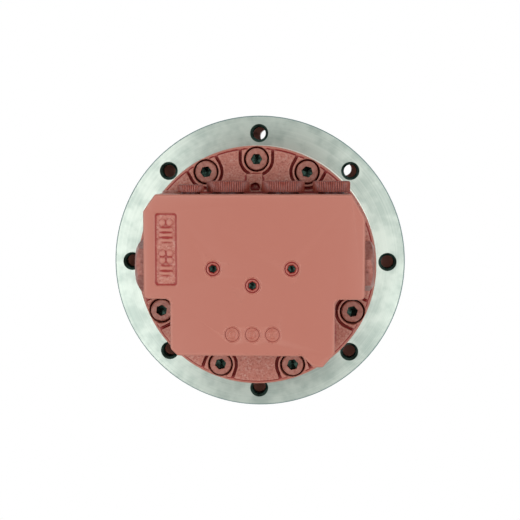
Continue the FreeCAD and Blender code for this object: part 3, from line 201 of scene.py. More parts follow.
def turnedSteel(name):
    # bare turned steel: concentric feed marks stretch every highlight into bright sectors across the ring
    look = ringLook
    material, tree = newMaterial(name)
    point = addNode(tree, "TexCoord", output="Object")
    flat = addNode(tree, "VectorMath", times, [point, (1, 1, 0)])
    radius = addNode(tree, "VectorMath", {"operation": "LENGTH"}, [flat], "Value")
    across, along = (addNode(tree, "SeparateXYZ", None, [point], axis) for axis in "XY")
    angle = addNode(tree, "Math", {"operation": "ARCTAN2"}, [along, across])
    # every hole's surroundings folded onto the first hole
    step = 2 * math.pi / look["holeCount"]
    shifted = addNode(tree, "Math", plus, [angle, step / 2])
    folded = addNode(tree, "Math", {"operation": "FLOORED_MODULO"}, [shifted, step])
    folded = addNode(tree, "Math", minus, [folded, step / 2])
    around = addNode(tree, "CombineXYZ", None, [
        addNode(tree, "Math", times, [radius, addNode(tree, "Math", {"operation": turn}, [folded])])
        for turn in ("COSINE", "SINE")])
    holePlace = (look["holeCircle"] * mm, 0, 0)
    fromHole = addNode(tree, "VectorMath", {"operation": "DISTANCE"}, [around, holePlace], "Value")
    grooved = addNode(tree, "CombineXYZ", None, [
        addNode(tree, "Math", times, [radius, 1 / (look["grooveMm"] * mm)]),
        addNode(tree, "Math", times, [angle, 0.6])])
    feed = addNode(tree, "TexNoise", inputs={"Vector": grooved, "Scale": 1.0, "Detail": 2.0})
    cloud = addNode(tree, "TexNoise", inputs={"Vector": point, "Scale": 1 / (look["cloudMm"] * mm), "Detail": 3.0})
    reach, rim, pilot = look["holeReach"] * mm, look["rim"] * mm, look["pilot"] * mm
    tone = hexColour(look["steel"])
    # the feed-mark crests and the pilot's edge are lighter as painted highlights, the holes darker as painted shade
    for settings, values, tint in (
            (softStep, [cloud, 0.35, 0.7, 0.0, 1.0], "dull"),
            (None, [feed, 0.3, 0.7, 0.0, 0.25], "bright"),
            (softStep, [radius, pilot, pilot + 0.4 * mm, 0.7, 0.0], "corner"),
            (softStep, [radius, rim, rim + 0.3 * mm, 0.0, 1.0], "edge"),
            (softStep, [fromHole, reach, reach + 0.25 * mm, 1.0, 0.0], "inside")):
        share = addNode(tree, "MapRange", settings, values)
        tone = addNode(tree, "Mix", colourMix, {0: share, 6: tone, 7: hexColour(look[tint])}, 2)
    bump = addNode(tree, "Bump", inputs={"Strength": 0.25, "Distance": look["grooveHeightMm"] * mm, "Height": feed})
    tangent = addNode(tree, "Tangent", {"direction_type": "RADIAL", "axis": "Z"})
    shader = addNode(tree, "BsdfPrincipled", inputs={
        "Base Color": tone, "Metallic": 1.0, "Roughness": look["roughness"],
        "Anisotropic": look["stretch"], "Anisotropic Rotation": look["stretchTurn"], "Tangent": tangent,
        "Normal": bump})
    addNode(tree, "OutputMaterial", inputs={"Surface": shader})
    return material


def plainMetal(name, light, dark, roughness, spotMm):
    # a machined inner part: even metal with a cloudy film of oil
    material, tree = newMaterial(name)
    point = addNode(tree, "TexCoord", output="Object")
    film = addNode(tree, "TexNoise", inputs={"Vector": point, "Scale": 1 / (spotMm * mm), "Detail": 3.0})
    share = addNode(tree, "MapRange", softStep, [film, 0.35, 0.7, 0.0, 1.0])
    tone = addNode(tree, "Mix", colourMix, {0: share, 6: hexColour(light), 7: hexColour(dark)}, 2)
    dullness = addNode(tree, "MapRange", softStep, [film, 0.3, 0.7, roughness - 0.06, roughness + 0.06])
    shader = addNode(tree, "BsdfPrincipled", inputs={"Base Color": tone, "Metallic": 1.0, "Roughness": dullness})
    addNode(tree, "OutputMaterial", inputs={"Surface": shader})
    return material


mouldedLook = {"scuff": "6A6560", "grainMm": 0.8, "grainHeightMm": 0.05}


def moulded(name, colour, roughness):
    # moulded rubber or lining: dull and very slightly grainy
    look = mouldedLook
    material, tree = newMaterial(name)
    point = addNode(tree, "TexCoord", output="Object")
    grain = addNode(tree, "TexNoise", inputs={"Vector": point, "Scale": 1 / (look["grainMm"] * mm), "Detail": 2.0})
    share = addNode(tree, "MapRange", softStep, [grain, 0.3, 0.7, 0.0, 0.3])
    tone = addNode(tree, "Mix", colourMix, {0: share, 6: hexColour(colour), 7: hexColour(look["scuff"])}, 2)
    bump = addNode(tree, "Bump", inputs={"Strength": 0.4, "Distance": look["grainHeightMm"] * mm, "Height": grain})
    shader = addNode(tree, "BsdfPrincipled", inputs={"Base Color": tone, "Roughness": roughness, "Normal": bump})
    addNode(tree, "OutputMaterial", inputs={"Surface": shader})
    return material


castPaint = paintedCasting("alkydPaintOnCastIron")
steelPaint = paintedSteel("alkydPaintOnScrewHeads", "9E6254", "6E2A1E", "B98577")
capPaint = paintedSteel("alkydPaintOnMouldedCaps", "8E4234", "5A1206", "A8604F")
plugPaint = paintedSteel("alkydPaintOnPlugs", "AA6252", "820F04", "AE6A59")
forgedPaint = paintedSteel("alkydPaintOnForgedHexagons", "94564A", "5A2018", "A9776B")
ringSteel = turnedSteel("bareTurnedSteel")
gearSteel = plainMetal("caseHardenedSteel", "A8A8A6", "8C8C8A", 0.32, 6.0)
machinedSteel = plainMetal("machinedSteel", "B4B4B0", "979793", 0.36, 8.0)
groundSteel = plainMetal("groundBearingSteel", "D0D1CF", "B5B7B5", 0.16, 10.0)
blockIron = plainMetal("machinedGreyIron", "7C7C7A", "626260", 0.45, 3.0)
turnedBronze = plainMetal("turnedBronze", "C79A5C", "A87C42", 0.3, 5.0)
springSteel = plainMetal("oilTemperedWire", "8A8A8C", "6A6A6E", 0.35, 4.0)
blackSteel = plainMetal("blackOxideSteel", "3A3B3A", "232423", 0.42, 3.0)
nitrile = moulded("nitrileRubber", "1C1C1C", 0.6)
lining = moulded("sinteredLining", "4A4036", 0.75)
slotFinish = {
    "bare_turned_steel": ringSteel, "red_painted_casting": castPaint, "red_painted_fasteners": steelPaint,
    "red_painted_caps": capPaint, "hardened_gear_steel": gearSteel, "machined_steel": machinedSteel,
    "cylinder_block_iron": blockIron, "bronze": turnedBronze, "bearing_steel": groundSteel,
    "black_rubber": nitrile, "spring_steel": springSteel, "friction_lining": lining,
    "black_oxide_steel": blackSteel,
}
for subpart in record["subparts"]:
    node = frame["nodes"][subpart["node"]]
    node.data.materials.clear()
    node.data.materials.append(slotFinish[subpart["material_slot"]])
print("stage: finishes put on the nodes")


# shapes

def extrudeRing(bm, edges, scale=1.0, rise=0.0):
    # grows a ring of edges into the next ring of a turned or prism shape
    grown = bmesh.ops.extrude_edge_only(bm, edges=edges)["geom"]
    verts = [part for part in grown if isinstance(part, bmesh.types.BMVert)]
    bmesh.ops.scale(bm, vec=(scale, scale, 1), verts=verts)
    bmesh.ops.translate(bm, vec=(0, 0, rise), verts=verts)
    fresh = set(verts)
    return [part for part in grown if isinstance(part, bmesh.types.BMEdge) and fresh.issuperset(part.verts)]


def ringVerts(edges):
    return list({vert for edge in edges for vert in edge.verts})


def circleRing(bm, radius, height, segments):
    verts = bmesh.ops.create_circle(bm, cap_ends=False, segments=segments, radius=radius * mm)["verts"]
    bmesh.ops.translate(bm, vec=(0, 0, height * mm), verts=verts)
    return list({edge for vert in verts for edge in vert.link_edges})


def climb(bm, edges, steps):
    # steps are (radius, height) pairs in mm; the ring follows them and closes at radius 0
    for (fromRadius, fromHeight), (radius, height) in zip(steps, steps[1:]):
        edges = extrudeRing(bm, edges, max(radius, 0.001) / fromRadius, (height - fromHeight) * mm)
    return edges


def meshOf(bm, name, smoothAngle=35.0):
    # merges the seams, turns the faces outwards and keeps edges sharper than smoothAngle
    bmesh.ops.remove_doubles(bm, verts=bm.verts, dist=0.002 * mm)
    bmesh.ops.recalc_face_normals(bm, faces=bm.faces)
    for edge in bm.edges:
        edge.smooth = len(edge.link_faces) == 2 and edge.calc_face_angle(0) < math.radians(smoothAngle)
    for face in bm.faces:
        face.smooth = True
    mesh = bpy.data.meshes.new(name)
    bm.to_mesh(mesh)
    bm.free()
    return mesh


def placed(mesh, places):
    # one bmesh that holds a copy of the mesh at each place
    bm = bmesh.new()
    for place in places:
        before = len(bm.verts)
        bm.from_mesh(mesh)
        bm.verts.ensure_lookup_table()
        bmesh.ops.transform(bm, matrix=place, verts=bm.verts[before:])
    return bm


def showPiece(name, mesh, finishes, body, nodes=()):
    for finish in finishes:
        mesh.materials.append(finish)
    piece = bpy.data.objects.new(name, mesh)
    bpy.context.scene.collection.objects.link(piece)
    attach(piece, body)
    if nodes:
        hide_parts(*nodes)
    return piece


def bakedMesh(piece):
    # the mesh as its modifiers leave it
    graph = bpy.context.evaluated_depsgraph_get()
    return bpy.data.meshes.new_from_object(piece.evaluated_get(graph), depsgraph=graph)


def turnAbout(angle, radius, height=0.0):
    # a place at this radius from the spin axis, its own X pointing outwards; the angle is in radians
    return Matrix.Rotation(angle, 4, "Z") @ Matrix.Translation((radius * mm, 0, height * mm))


# castings: the rear flange with the port block, the hub and the end cover

castLook = {
    "settle": 3,              # rounds of smoothing, which leave the soft edges of a casting
    "creaseReach": 6,         # rounds of averaging that find the inner corners
    "sandMm": 1.7,            # lumps of the mould's sand, drawn coarser than the real 0.4 mm
    "sandHeight": 0.45,
    "facesMost": 190000,
    "levels": 8,              # steps between sandy and milled
}
flangeLook = {
    "voxelMm": 0.62,
    "pilotRadius": 99.5,      # turned, so it stays smooth
    "screwCircle": 88.2,
    "screwAngles": (90.0, 61.7, 118.3, -25.5, 205.5, 250.0, 290.0),
    "counterbore": 10.5,
    "cavity": 62.6,           # the motor's chamber, filled up to cavityTop
    "cavityTop": 208.0,
    "coverFace": 267.0,
    "valveAxis": (3.3, 244.0),    # y, z
    # x, z, radius of the ports and of the selector
    "bores": ((-21.0, 236.0, 11.0), (23.0, 236.0, 11.0), (61.5, 233.0, 9.0), (-49.6, 250.0, 6.0),
              (-64.6, 223.0, 7.5)),
    "plugPlaces": ((-30.7, 2.4), (30.6, 2.5), (0.0, -10.7)),
    # stoppers: their length, and where they close the bores, the valve, the screw holes and the plugs' holes
    "stopper": 4.0,
    "boresAt": 50.0,
    "valveAt": (-76.0, 78.0),
    "valveRadius": 17.5,
    "screwsAt": 188.0,
    "screwRadius": 7.0,
    "plugsAt": 254.0,
    "plugRadius": 6.6,
}
hubLook = {
    "voxelMm": 0.85,
    "drum": 98.0,
    "low": 16.0,             # where the hub stands on the end cover
    "flangeLow": 119.0,      # underside of the sprocket flange
    "lip": 142.5,            # top of the neck, just under the frame flange
    "bore": 97.4,            # a little wider than the neck's bore, to fill it
}
coverLook = {"voxelMm": 0.8, "radius": 98.0}


def stopper(bm, radius, length, place, turn=None):
    # fills an opening, so that the skin follows only what can be seen from outside
    matrix = Matrix.Translation(Vector(place) * mm)
    if turn:
        matrix = matrix @ Matrix.Rotation(math.radians(90), 4, turn)
    bmesh.ops.create_cone(bm, cap_ends=True, segments=96, radius1=radius * mm, radius2=radius * mm,
                          depth=length * mm, matrix=matrix)


def closeFlange(bm):
    look = flangeLook
    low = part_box("rear_flange")[0].z / mm
    stopper(bm, look["cavity"], look["cavityTop"] - low, (0, 0, (look["cavityTop"] + low) / 2))
    for x, z, radius in look["bores"]:
        stopper(bm, radius, look["stopper"], (x, look["boresAt"], z), "X")
    y, z = look["valveAxis"]
    for x in look["valveAt"]:
        stopper(bm, look["valveRadius"], look["stopper"], (x, y, z), "Y")
    for angle in look["screwAngles"]:
        place = turnAbout(math.radians(angle), look["screwCircle"], look["screwsAt"]).to_translation() / mm
        stopper(bm, look["screwRadius"], look["stopper"], place)
    for x, y in look["plugPlaces"]:
        stopper(bm, look["plugRadius"], look["stopper"], (x, y, look["plugsAt"]))


def closeHub(bm):
    look = hubLook
    for low, high, radius in ((look["low"] + 0.2, look["flangeLow"] + 2, look["drum"] - 8),
                              (look["flangeLow"] + 1, look["lip"] - 0.3, look["bore"])):
        stopper(bm, radius, high - low, (0, 0, (low + high) / 2))


def hollowness(mesh, rounds):
    # how far each point lies below the smoothed surface, in mm: above 0 in creases, below 0 on edges
    count = len(mesh.vertices)
    start = np.empty(count * 3)
    mesh.vertices.foreach_get("co", start)
    start = start.reshape(-1, 3)
    normals = np.empty(count * 3)
    mesh.vertex_normals.foreach_get("vector", normals)
    ends = np.empty(len(mesh.edges) * 2, dtype=np.int64)
    mesh.edges.foreach_get("vertices", ends)
    ends = ends.reshape(-1, 2)
    first = np.concatenate([ends[:, 0], ends[:, 1]])
    second = np.concatenate([ends[:, 1], ends[:, 0]])
    degree = np.maximum(np.bincount(first, minlength=count), 1)
    smooth = start.copy()
    for turn in range(rounds):
        smooth = np.stack([np.bincount(first, weights=smooth[second, axis], minlength=count) / degree
                           for axis in range(3)], axis=1)
    return ((smooth - start) * normals.reshape(-1, 3)).sum(axis=1) / mm, start / mm


def flangeSand(points):
    # 1 where the mould left its sand, 0 on milled faces and in counterbores
    look = flangeLook
    share = np.clip((look["coverFace"] - 0.5 - points[:, 2]) / 0.4, 0, 1)
    share *= np.clip(look["pilotRadius"] - 1.5 - np.hypot(points[:, 0], points[:, 1]), 0, 1)
    for angle in look["screwAngles"]:
        place = turnAbout(math.radians(angle), look["screwCircle"]).to_translation() / mm
        away = np.hypot(points[:, 0] - place.x, points[:, 1] - place.y)
        share *= np.clip((away - look["counterbore"] - 0.6) / 0.8, 0, 1)
    return share


def hubSand(points):
    # the drum is left as cast, the sprocket flange and its neck are turned
    look = hubLook
    share = np.clip((look["flangeLow"] - 2 - points[:, 2]) / 1.0, 0, 1)
    return share * np.clip((points[:, 2] - look["low"] - 3) / 1.0, 0, 1)


def coverSand(points):
    # only the rim of the cover is left as cast, its face is turned
    radius = np.hypot(points[:, 0], points[:, 1])
    return np.clip((radius - coverLook["radius"] + 1.2) / 0.6, 0, 1) * np.clip((points[:, 2] - 2.5) / 1.0, 0, 1)


def makeCasting(name, node, voxelMm, closeHollows, sandOn):
    bm = bmesh.new()
    bm.from_mesh(frame["nodes"][node].data)
    bmesh.ops.remove_doubles(bm, verts=bm.verts, dist=0.001 * mm)
    if closeHollows:
        closeHollows(bm)
    raw = bpy.data.meshes.new("rawCasting")
    bm.to_mesh(raw)
    bm.free()
    casting = bpy.data.objects.new("rawCasting", raw)
    bpy.context.scene.collection.objects.link(casting)
    skin = casting.modifiers.new("skin", "REMESH")
    skin.mode = "VOXEL"
    skin.voxel_size = voxelMm * mm
    settle = casting.modifiers.new("settle", "SMOOTH")
    settle.factor = 0.5
    settle.iterations = castLook["settle"]
    casting.data = bakedMesh(casting)
    casting.modifiers.clear()
    mesh = casting.data
    hollow, points = hollowness(mesh, castLook["creaseReach"])
    share = sandOn(points)
    # the paint reads hollow as painted shade in the creases and a painted highlight on the outer edges
    mesh.attributes.new("hollow", "FLOAT", "POINT").data.foreach_set("value", hollow.astype(np.float32))
    mesh.attributes.new("sand", "FLOAT", "POINT").data.foreach_set("value", share.astype(np.float32))
    sand = casting.vertex_groups.new(name="sandy")
    most = castLook["levels"]
    levels = np.round(share * most).astype(int)
    for level in range(1, most + 1):
        sand.add([int(i) for i in np.nonzero(levels == level)[0]], level / most, "REPLACE")
    grain = bpy.data.textures.new("mouldSand", "CLOUDS")
    grain.noise_scale = castLook["sandMm"] * mm
    grain.noise_depth = 3
    pressed = casting.modifiers.new("sand", "DISPLACE")
    pressed.texture = grain
    pressed.texture_coords = "LOCAL"
    pressed.vertex_group = "sandy"
    pressed.strength = castLook["sandHeight"] * mm
    thin = casting.modifiers.new("thin", "DECIMATE")
    thin.ratio = min(1.0, castLook["facesMost"] / (2 * len(mesh.polygons)))
    final = bakedMesh(casting)
    bpy.data.objects.remove(casting)
    final.name = name
    final.materials.clear()
    for face in final.polygons:
        face.use_smooth = True
    print("stage:", name, "cast with", len(final.polygons), "faces")
    return final


flangeMesh = makeCasting("castRearFlange", "rear_flange", flangeLook["voxelMm"], closeFlange, flangeSand)
showPiece("castRearFlange", flangeMesh, [castPaint], "frame_side", ["rear_flange"])
coverMesh = makeCasting("castEndCover", "end_cover", coverLook["voxelMm"], None, coverSand)
showPiece("castEndCover", coverMesh, [castPaint], "hub", ["end_cover"])
# the skin lies on the hub's own node, which keeps the ring gear and the bearing seats inside it
hubMesh = makeCasting("castHubSkin", "hub", hubLook["voxelMm"], closeHub, hubSand)
showPiece("castHubSkin", hubMesh, [castPaint], "hub")


# cap screws of the rear flange

screwLook = {
    "headRadius": 9.0,
    "headHeight": 12.0,
    "chamfer": 0.9,
    "knurlDepth": 0.3,
    "knurlTop": 0.6,         # below the chamfer
    "knurlFoot": 1.0,        # above the seat
    "socket": 8.2,           # across flats, narrowed by the paint
    "socketMouth": 1.05,     # how far the mouth's chamfer opens, as a share of the socket
    "mouthDepth": 0.35,
    "socketDepth": 6.0,
    "drillPoint": 1.4,
    "shankRadius": 6.0,
    "shankChamfer": 1.2,
    "length": 46.0,
    "segments": 60,
    "turns": (0, 13, 41, 8, 27, 33, 52),
}


def socketHead(look):
    # a knurled socket-head screw that stands on its seat at height 0 and points down
    segments, head, top, chamfer = look["segments"], look["headRadius"], look["headHeight"], look["chamfer"]
    corner = look["socket"] / math.sqrt(3)
    bm = bmesh.new()
    hexagon = bmesh.ops.create_circle(bm, cap_ends=False, segments=6,
                                      radius=corner * look["socketMouth"] * mm)["verts"]
    bmesh.ops.translate(bm, vec=(0, 0, top * mm), verts=hexagon)
    sides = list({edge for vert in hexagon for edge in vert.link_edges})
    bmesh.ops.subdivide_edges(bm, edges=sides, cuts=segments // 6 - 1)
    mouth = [edge for edge in bm.edges]
    rim = circleRing(bm, head - chamfer, top, segments)
    bmesh.ops.bridge_loops(bm, edges=mouth + rim)
    chamferFoot = top - 1.2 * chamfer
    edges = climb(bm, rim, [(head - chamfer, top), (head - 0.25 * chamfer, top - 0.5 * chamfer), (head, chamferFoot)])
    knurl = extrudeRing(bm, edges, 1.0, -look["knurlTop"] * mm)
    foot = extrudeRing(bm, knurl, 1.0, -(chamferFoot - look["knurlTop"] - look["knurlFoot"]) * mm)
    for vert in ringVerts(knurl + foot):
        spoke = round(math.atan2(vert.co.y, vert.co.x) / (2 * math.pi / segments))
        if spoke % 2:
            vert.co.xy *= 1 - look["knurlDepth"] / head
    edges = extrudeRing(bm, foot, 1.0, -look["knurlFoot"] * mm)
    shank, end, shankChamfer = look["shankRadius"], -look["length"], look["shankChamfer"]
    climb(bm, edges, [(head, 0), (shank, 0), (shank, end + 1.5), (shank - shankChamfer, end), (0, end)])
    before = set(bm.faces)
    depth = look["socketDepth"]
    inner = climb(bm, mouth, [(look["socketMouth"], 0), (1.0, -look["mouthDepth"])])
    climb(bm, inner, [(1.0, -look["mouthDepth"]), (1.0, -depth), (0.35, -depth - 0.8),
                      (0, -depth - look["drillPoint"])])
    for face in set(bm.faces) - before:
        face.material_index = 1 if face.calc_center_median().z < (top - look["mouthDepth"]) * mm else 0
    return meshOf(bm, "socketHead", 30)


darkSocket = plainMetal("oiledBlackSocket", "1E2B26", "0F1512", 0.3, 2.0)
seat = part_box("rear_flange_screws")[1].z / mm - screwLook["headHeight"]
screwPlaces = [
    turnAbout(math.radians(angle), flangeLook["screwCircle"], seat) @ Matrix.Rotation(math.radians(turn), 4, "Z")
    for angle, turn in zip(flangeLook["screwAngles"], screwLook["turns"])
]
showPiece("rearFlangeScrews", meshOf(placed(socketHead(screwLook), screwPlaces), "rearFlangeScrews", 30),
          [steelPaint, darkSocket], "frame_side", ["rear_flange_screws"])
print("stage: screws of the rear flange")


# transport caps on the ports

capLook = {
    "lift": 1.4,              # gap between the cap's skirt and the block, dark under the ribs
    "ribPitch": 1.95,
    "ribDepth": 0.75,
    "bevel": 1.2,
    "blockFace": 60.3,        # y of the block's upper side face; places are x, z
    "main": {"radius": 17.2, "height": 10.3, "bore": 10.5, "places": ((-21.0, 236.0), (23.0, 236.0))},
    "drain": {"radius": 15.0, "height": 10.2, "bore": 8.5, "places": ((61.5, 233.0),)},
    "pilot": {"radius": 10.5, "height": 7.4, "bore": 5.5, "places": ((-49.6, 250.0),)},
}


def portCap(look):
    # moulded cap with a ribbed grip, drawn upright on the port's face
    ribs = round(2 * math.pi * look["radius"] / capLook["ribPitch"])
    segments = ribs * 4
    radius, height, lift, bevel = look["radius"], look["height"], capLook["lift"], capLook["bevel"]
    bm = bmesh.new()
    stainAndShade = bm.verts.layers.float.new("hollow")
    foot = circleRing(bm, radius - 0.5, lift, segments)
    levels = [climb(bm, foot, [(radius - 0.5, lift), (radius, lift + 0.5)])]
    levels.append(extrudeRing(bm, levels[-1], 1.0, (height - lift - 0.5 - bevel) * mm))
    # the grooves between the ribs get painted shade through the hollow layer, their flanks a part of it
    for edges in levels:
        for vert in ringVerts(edges):
            spoke = round(math.atan2(vert.co.y, vert.co.x) / (2 * math.pi / segments)) % 4
            vert.co.xy *= 1 - (0, 0.5, 1, 0.5)[spoke] * capLook["ribDepth"] / radius
            vert[stainAndShade] = (0.0, 0.35, 1.0, 0.35)[spoke]
    climb(bm, levels[-1], [
        (radius, height - bevel), (radius - 0.35 * bevel, height - 0.35 * bevel),
        (radius - bevel, height), (radius - 3.4, height), (radius - 3.8, height - 0.6),
        (radius * 0.42, height - 0.6), (radius * 0.38, height - 0.3), (0, height - 0.3)])
    bore = look["bore"]
    climb(bm, foot, [(radius - 0.5, lift), (bore + 2, lift), (bore + 2, 0), (bore, 0), (bore, -10), (bore - 2, -10),
                     (bore - 2, -2), (0, -2)])
    # painted shade under the skirt, on the collar and in the ring groove of the cap's top
    for vert in bm.verts:
        if vert.co.z < (lift + 0.2) * mm or abs(vert.co.xy.length / mm - radius + 3.8) < 0.1:
            vert[stainAndShade] = 1.0
    return meshOf(bm, "portCap", 50)


def capPlace(x, z):
    return Matrix.Translation((x * mm, capLook["blockFace"] * mm, z * mm)) @ Matrix.Rotation(
        math.radians(-90), 4, "X")


for name, node in (("main", "main_port_caps"), ("drain", "drain_port_cap"), ("pilot", "pilot_port_cap")):
    places = [capPlace(x, z) for x, z in capLook[name]["places"]]
    capMesh = meshOf(placed(portCap(capLook[name]), places), name + "PortCaps", 50)
    showPiece(name + "PortCaps", capMesh, [capPaint], "frame_side", [node])
print("stage: transport caps")


# plugs and discs in the cover face

plugLook = {
    "lip": 6.9,
    "groove": 5.6,
    "face": 4.75,
    "faceSunk": 0.15,
    "top": 267.06,
    "socket": 5.6,           # across flats
    "socketMouth": 1.12,     # how far the mouth's chamfer opens, as a share of the socket
    "mouthDepth": 0.4,
    "depth": 4.5,
    "shank": 5.95,
    "length": 9.0,
    "segments": 48,
    "turns": (12, 40, 0),
}


def passagePlug(look):
    # countersunk plug with a hexagon socket; its joint groove and the socket's mouth are darkened as painted shade
    segments, lip, sunk = look["segments"], look["lip"], -look["faceSunk"]
    face, groove, corner = look["face"], look["groove"], look["socket"] / math.sqrt(3)
    bm = bmesh.new()
    stainAndShade = bm.verts.layers.float.new("hollow")
    hexagon = bmesh.ops.create_circle(bm, cap_ends=False, segments=6,
                                      radius=corner * look["socketMouth"] * mm)["verts"]
    bmesh.ops.translate(bm, vec=(0, 0, sunk * mm), verts=hexagon)
    sides = list({edge for vert in hexagon for edge in vert.link_edges})
    bmesh.ops.subdivide_edges(bm, edges=sides, cuts=segments // 6 - 1)
    mouth = [edge for edge in bm.edges]
    rim = circleRing(bm, face - 0.3, sunk, segments)
    bmesh.ops.bridge_loops(bm, edges=mouth + rim)
    outer = climb(bm, rim, [(face - 0.3, sunk), (face, sunk - 0.1), (face + 0.1, -0.75), (groove - 0.1, -0.75),
                            (groove, -0.2), (groove + 0.35, -0.02), (lip - 0.3, -0.02), (lip, -0.3), (lip, -0.8)])
    shank, end = look["shank"], -look["length"]
    climb(bm, outer, [(lip, -0.8), (shank, -0.8), (shank, end), (0, end)])
    before = set(bm.faces)
    depth = look["depth"]
    inner = climb(bm, mouth, [(look["socketMouth"], 0), (1.0, -look["mouthDepth"])])
    climb(bm, inner, [(1.0, -look["mouthDepth"]), (1.0, -depth), (0.3, -depth - 0.6), (0, -depth - 1.0)])
    for facet in set(bm.faces) - before:
        facet.material_index = 1 if facet.calc_center_median().z < -0.5 * mm else 0
    # painted shade in the joint groove and around the socket's mouth
    for vert in bm.verts:
        reach = vert.co.xy.length / mm
        inJoint = face - 0.05 < reach < groove + 0.05
        vert[stainAndShade] = 1.0 if inJoint or reach < corner * look["socketMouth"] + 0.03 else 0.0
    return meshOf(bm, "passagePlug", 30)


plugPlaces = [Matrix.Translation((x * mm, y * mm, plugLook["top"] * mm)) @ Matrix.Rotation(math.radians(turn), 4, "Z")
              for (x, y), turn in zip(flangeLook["plugPlaces"], plugLook["turns"])]
showPiece("passagePlugs", meshOf(placed(passagePlug(plugLook), plugPlaces), "passagePlugs", 30),
          [plugPaint, darkSocket], "frame_side", ["passage_plugs"])

discLook = {
    "lip": 6.9,
    "groove": 5.5,
    "thickness": 3.9,
    "shank": 5.95,
    "segments": 48,
    "xs": (-15.7, 0.0, 15.8),
    "y": -49.0,
    "top": 267.06,
}


def coreDisc(look):
    # a disc pressed into a core hole and turned over, with the ring of the punch in its middle
    bm = bmesh.new()
    stainAndShade = bm.verts.layers.float.new("hollow")
    lip, groove, shank, low = look["lip"], look["groove"], look["shank"], -look["thickness"]
    ring = circleRing(bm, lip, -0.8, look["segments"])
    climb(bm, ring, [(lip, -0.8), (shank, -0.8), (shank, low), (0, low)])
    climb(bm, ring, [(lip, -0.8), (lip, -0.3), (lip - 0.3, -0.02), (groove + 0.35, -0.02), (groove + 0.1, -0.12),
                     (groove, -0.5), (groove - 0.25, -0.5), (groove - 0.35, -0.12), (groove - 0.8, 0), (3.3, 0.02),
                     (3.0, -0.2), (2.7, 0.0), (1.4, 0.03), (1.2, -0.05), (0, -0.05)])
    # painted shade in the groove round the disc and, fainter, in the punch's ring
    for vert in bm.verts:
        reach = vert.co.xy.length / mm
        vert[stainAndShade] = (0.8 if groove - 0.3 < reach < groove + 0.05 else 0.25 if 2.9 < reach < 3.1 else 0.0)
    return meshOf(bm, "coreDisc", 60)


discPlaces = [Matrix.Translation((x * mm, discLook["y"] * mm, discLook["top"] * mm)) for x in discLook["xs"]]
showPiece("passageDiscs", meshOf(placed(coreDisc(discLook), discPlaces), "passageDiscs", 60), [plugPaint],
          "frame_side", ["passage_discs"])
print("stage: plugs and discs of the cover face")


# hexagon plugs of the valve, one on each side of the block

hexLook = {
    "flats": 36.0,
    "reach": 7.6,
    "bevelFrom": 15.6,       # radius where the turned-off corners begin
    "bevelSlope": 0.6,
    "threadRadius": 16.5,
    "threadLength": 14.0,
    "left": -85.3,           # x of the block's side faces
    "right": 87.5,
    "turn": 13.0,
}


def hexPlug(look):
    # along +Z from the block's side face: forged hexagon, its corners turned off
    bm = bmesh.new()
    corner, reach, bevelFrom = look["flats"] / math.sqrt(3), look["reach"], look["bevelFrom"]
    hexagon = bmesh.ops.create_circle(bm, cap_ends=False, segments=6, radius=corner * mm)["verts"]
    bmesh.ops.subdivide_edges(bm, edges=list({e for v in hexagon for e in v.link_edges}), cuts=9)
    low = [edge for edge in bm.edges]
    high = extrudeRing(bm, low, 1.0, reach * mm)
    for vert in ringVerts(high):
        vert.co.z -= max(0.0, vert.co.xy.length / mm - bevelFrom) * look["bevelSlope"] * mm
    top = extrudeRing(bm, high, 1.0, 0.0)
    for vert in ringVerts(top):
        vert.co.xy = vert.co.xy.normalized() * bevelFrom * mm
        vert.co.z = reach * mm
    climb(bm, top, [(bevelFrom, reach), (bevelFrom - 1.2, reach), (bevelFrom - 1.8, reach - 0.4), (7.0, reach - 0.4),
                    (6.6, reach - 0.9), (0, reach - 0.9)])
    thread = extrudeRing(bm, low, look["threadRadius"] / corner, 0.0)
    for vert in ringVerts(thread):
        vert.co.xy = vert.co.xy.normalized() * look["threadRadius"] * mm
    radius, depth = look["threadRadius"], look["threadLength"]
    climb(bm, thread, [(radius, 0), (radius, 1 - depth), (radius - 1, -depth), (0, -depth)])
    return meshOf(bm, "hexPlug", 25)


y, z = flangeLook["valveAxis"]
hexPlaces = [
    Matrix.Translation((hexLook[side] * mm, y * mm, z * mm)) @ Matrix.Rotation(math.radians(turn), 4, "Y")
    @ Matrix.Rotation(math.radians(hexLook["turn"]), 4, "Z")
    for side, turn in (("left", -90), ("right", 90))
]
showPiece("valvePlugs", meshOf(placed(hexPlug(hexLook), hexPlaces), "valvePlugs", 25), [forgedPaint],
          "frame_side", ["valve_plugs"])
print("stage: valve plugs")


# threads in the holes of the bare ring

threadLook = {
    "circle": 111.0,
    "count": 8,
    "minor": 5.45,
    "major": 6.05,
    "pitch": 2.0,
    "low": 146.0,
    "high": 158.0,
    "stepsPerTurn": 36,
}


def holeThread(look):
    # a helical ridge that stands inwards from the wall of the hole
    bm = bmesh.new()
    half = look["pitch"] / 2
    profile = [(look["major"], -half * 0.9), (look["minor"], -half * 0.15), (look["minor"], half * 0.15),
               (look["major"], half * 0.9)]
    verts = [bm.verts.new((radius * mm, 0, (look["low"] + height + half) * mm)) for radius, height in profile]
    edges = [bm.edges.new(pair) for pair in zip(verts, verts[1:])]
    turns = (look["high"] - look["low"]) / look["pitch"] - 1
    steps = int(turns * look["stepsPerTurn"])
    rise = look["pitch"] * mm / look["stepsPerTurn"]   # spin moves the profile by this much at every step
    bmesh.ops.spin(bm, geom=verts + edges, cent=(0, 0, 0), axis=(0, 0, 1), dvec=(0, 0, rise),
                   angle=2 * math.pi * turns, steps=steps)
    for face in bm.faces:
        face.normal_update()
        outward = Vector((face.calc_center_median().x, face.calc_center_median().y, 0))
        if face.normal.dot(outward) > 0:
            face.normal_flip()
        face.smooth = True
    mesh = bpy.data.meshes.new("holeThread")
    bm.to_mesh(mesh)
    bm.free()
    return mesh


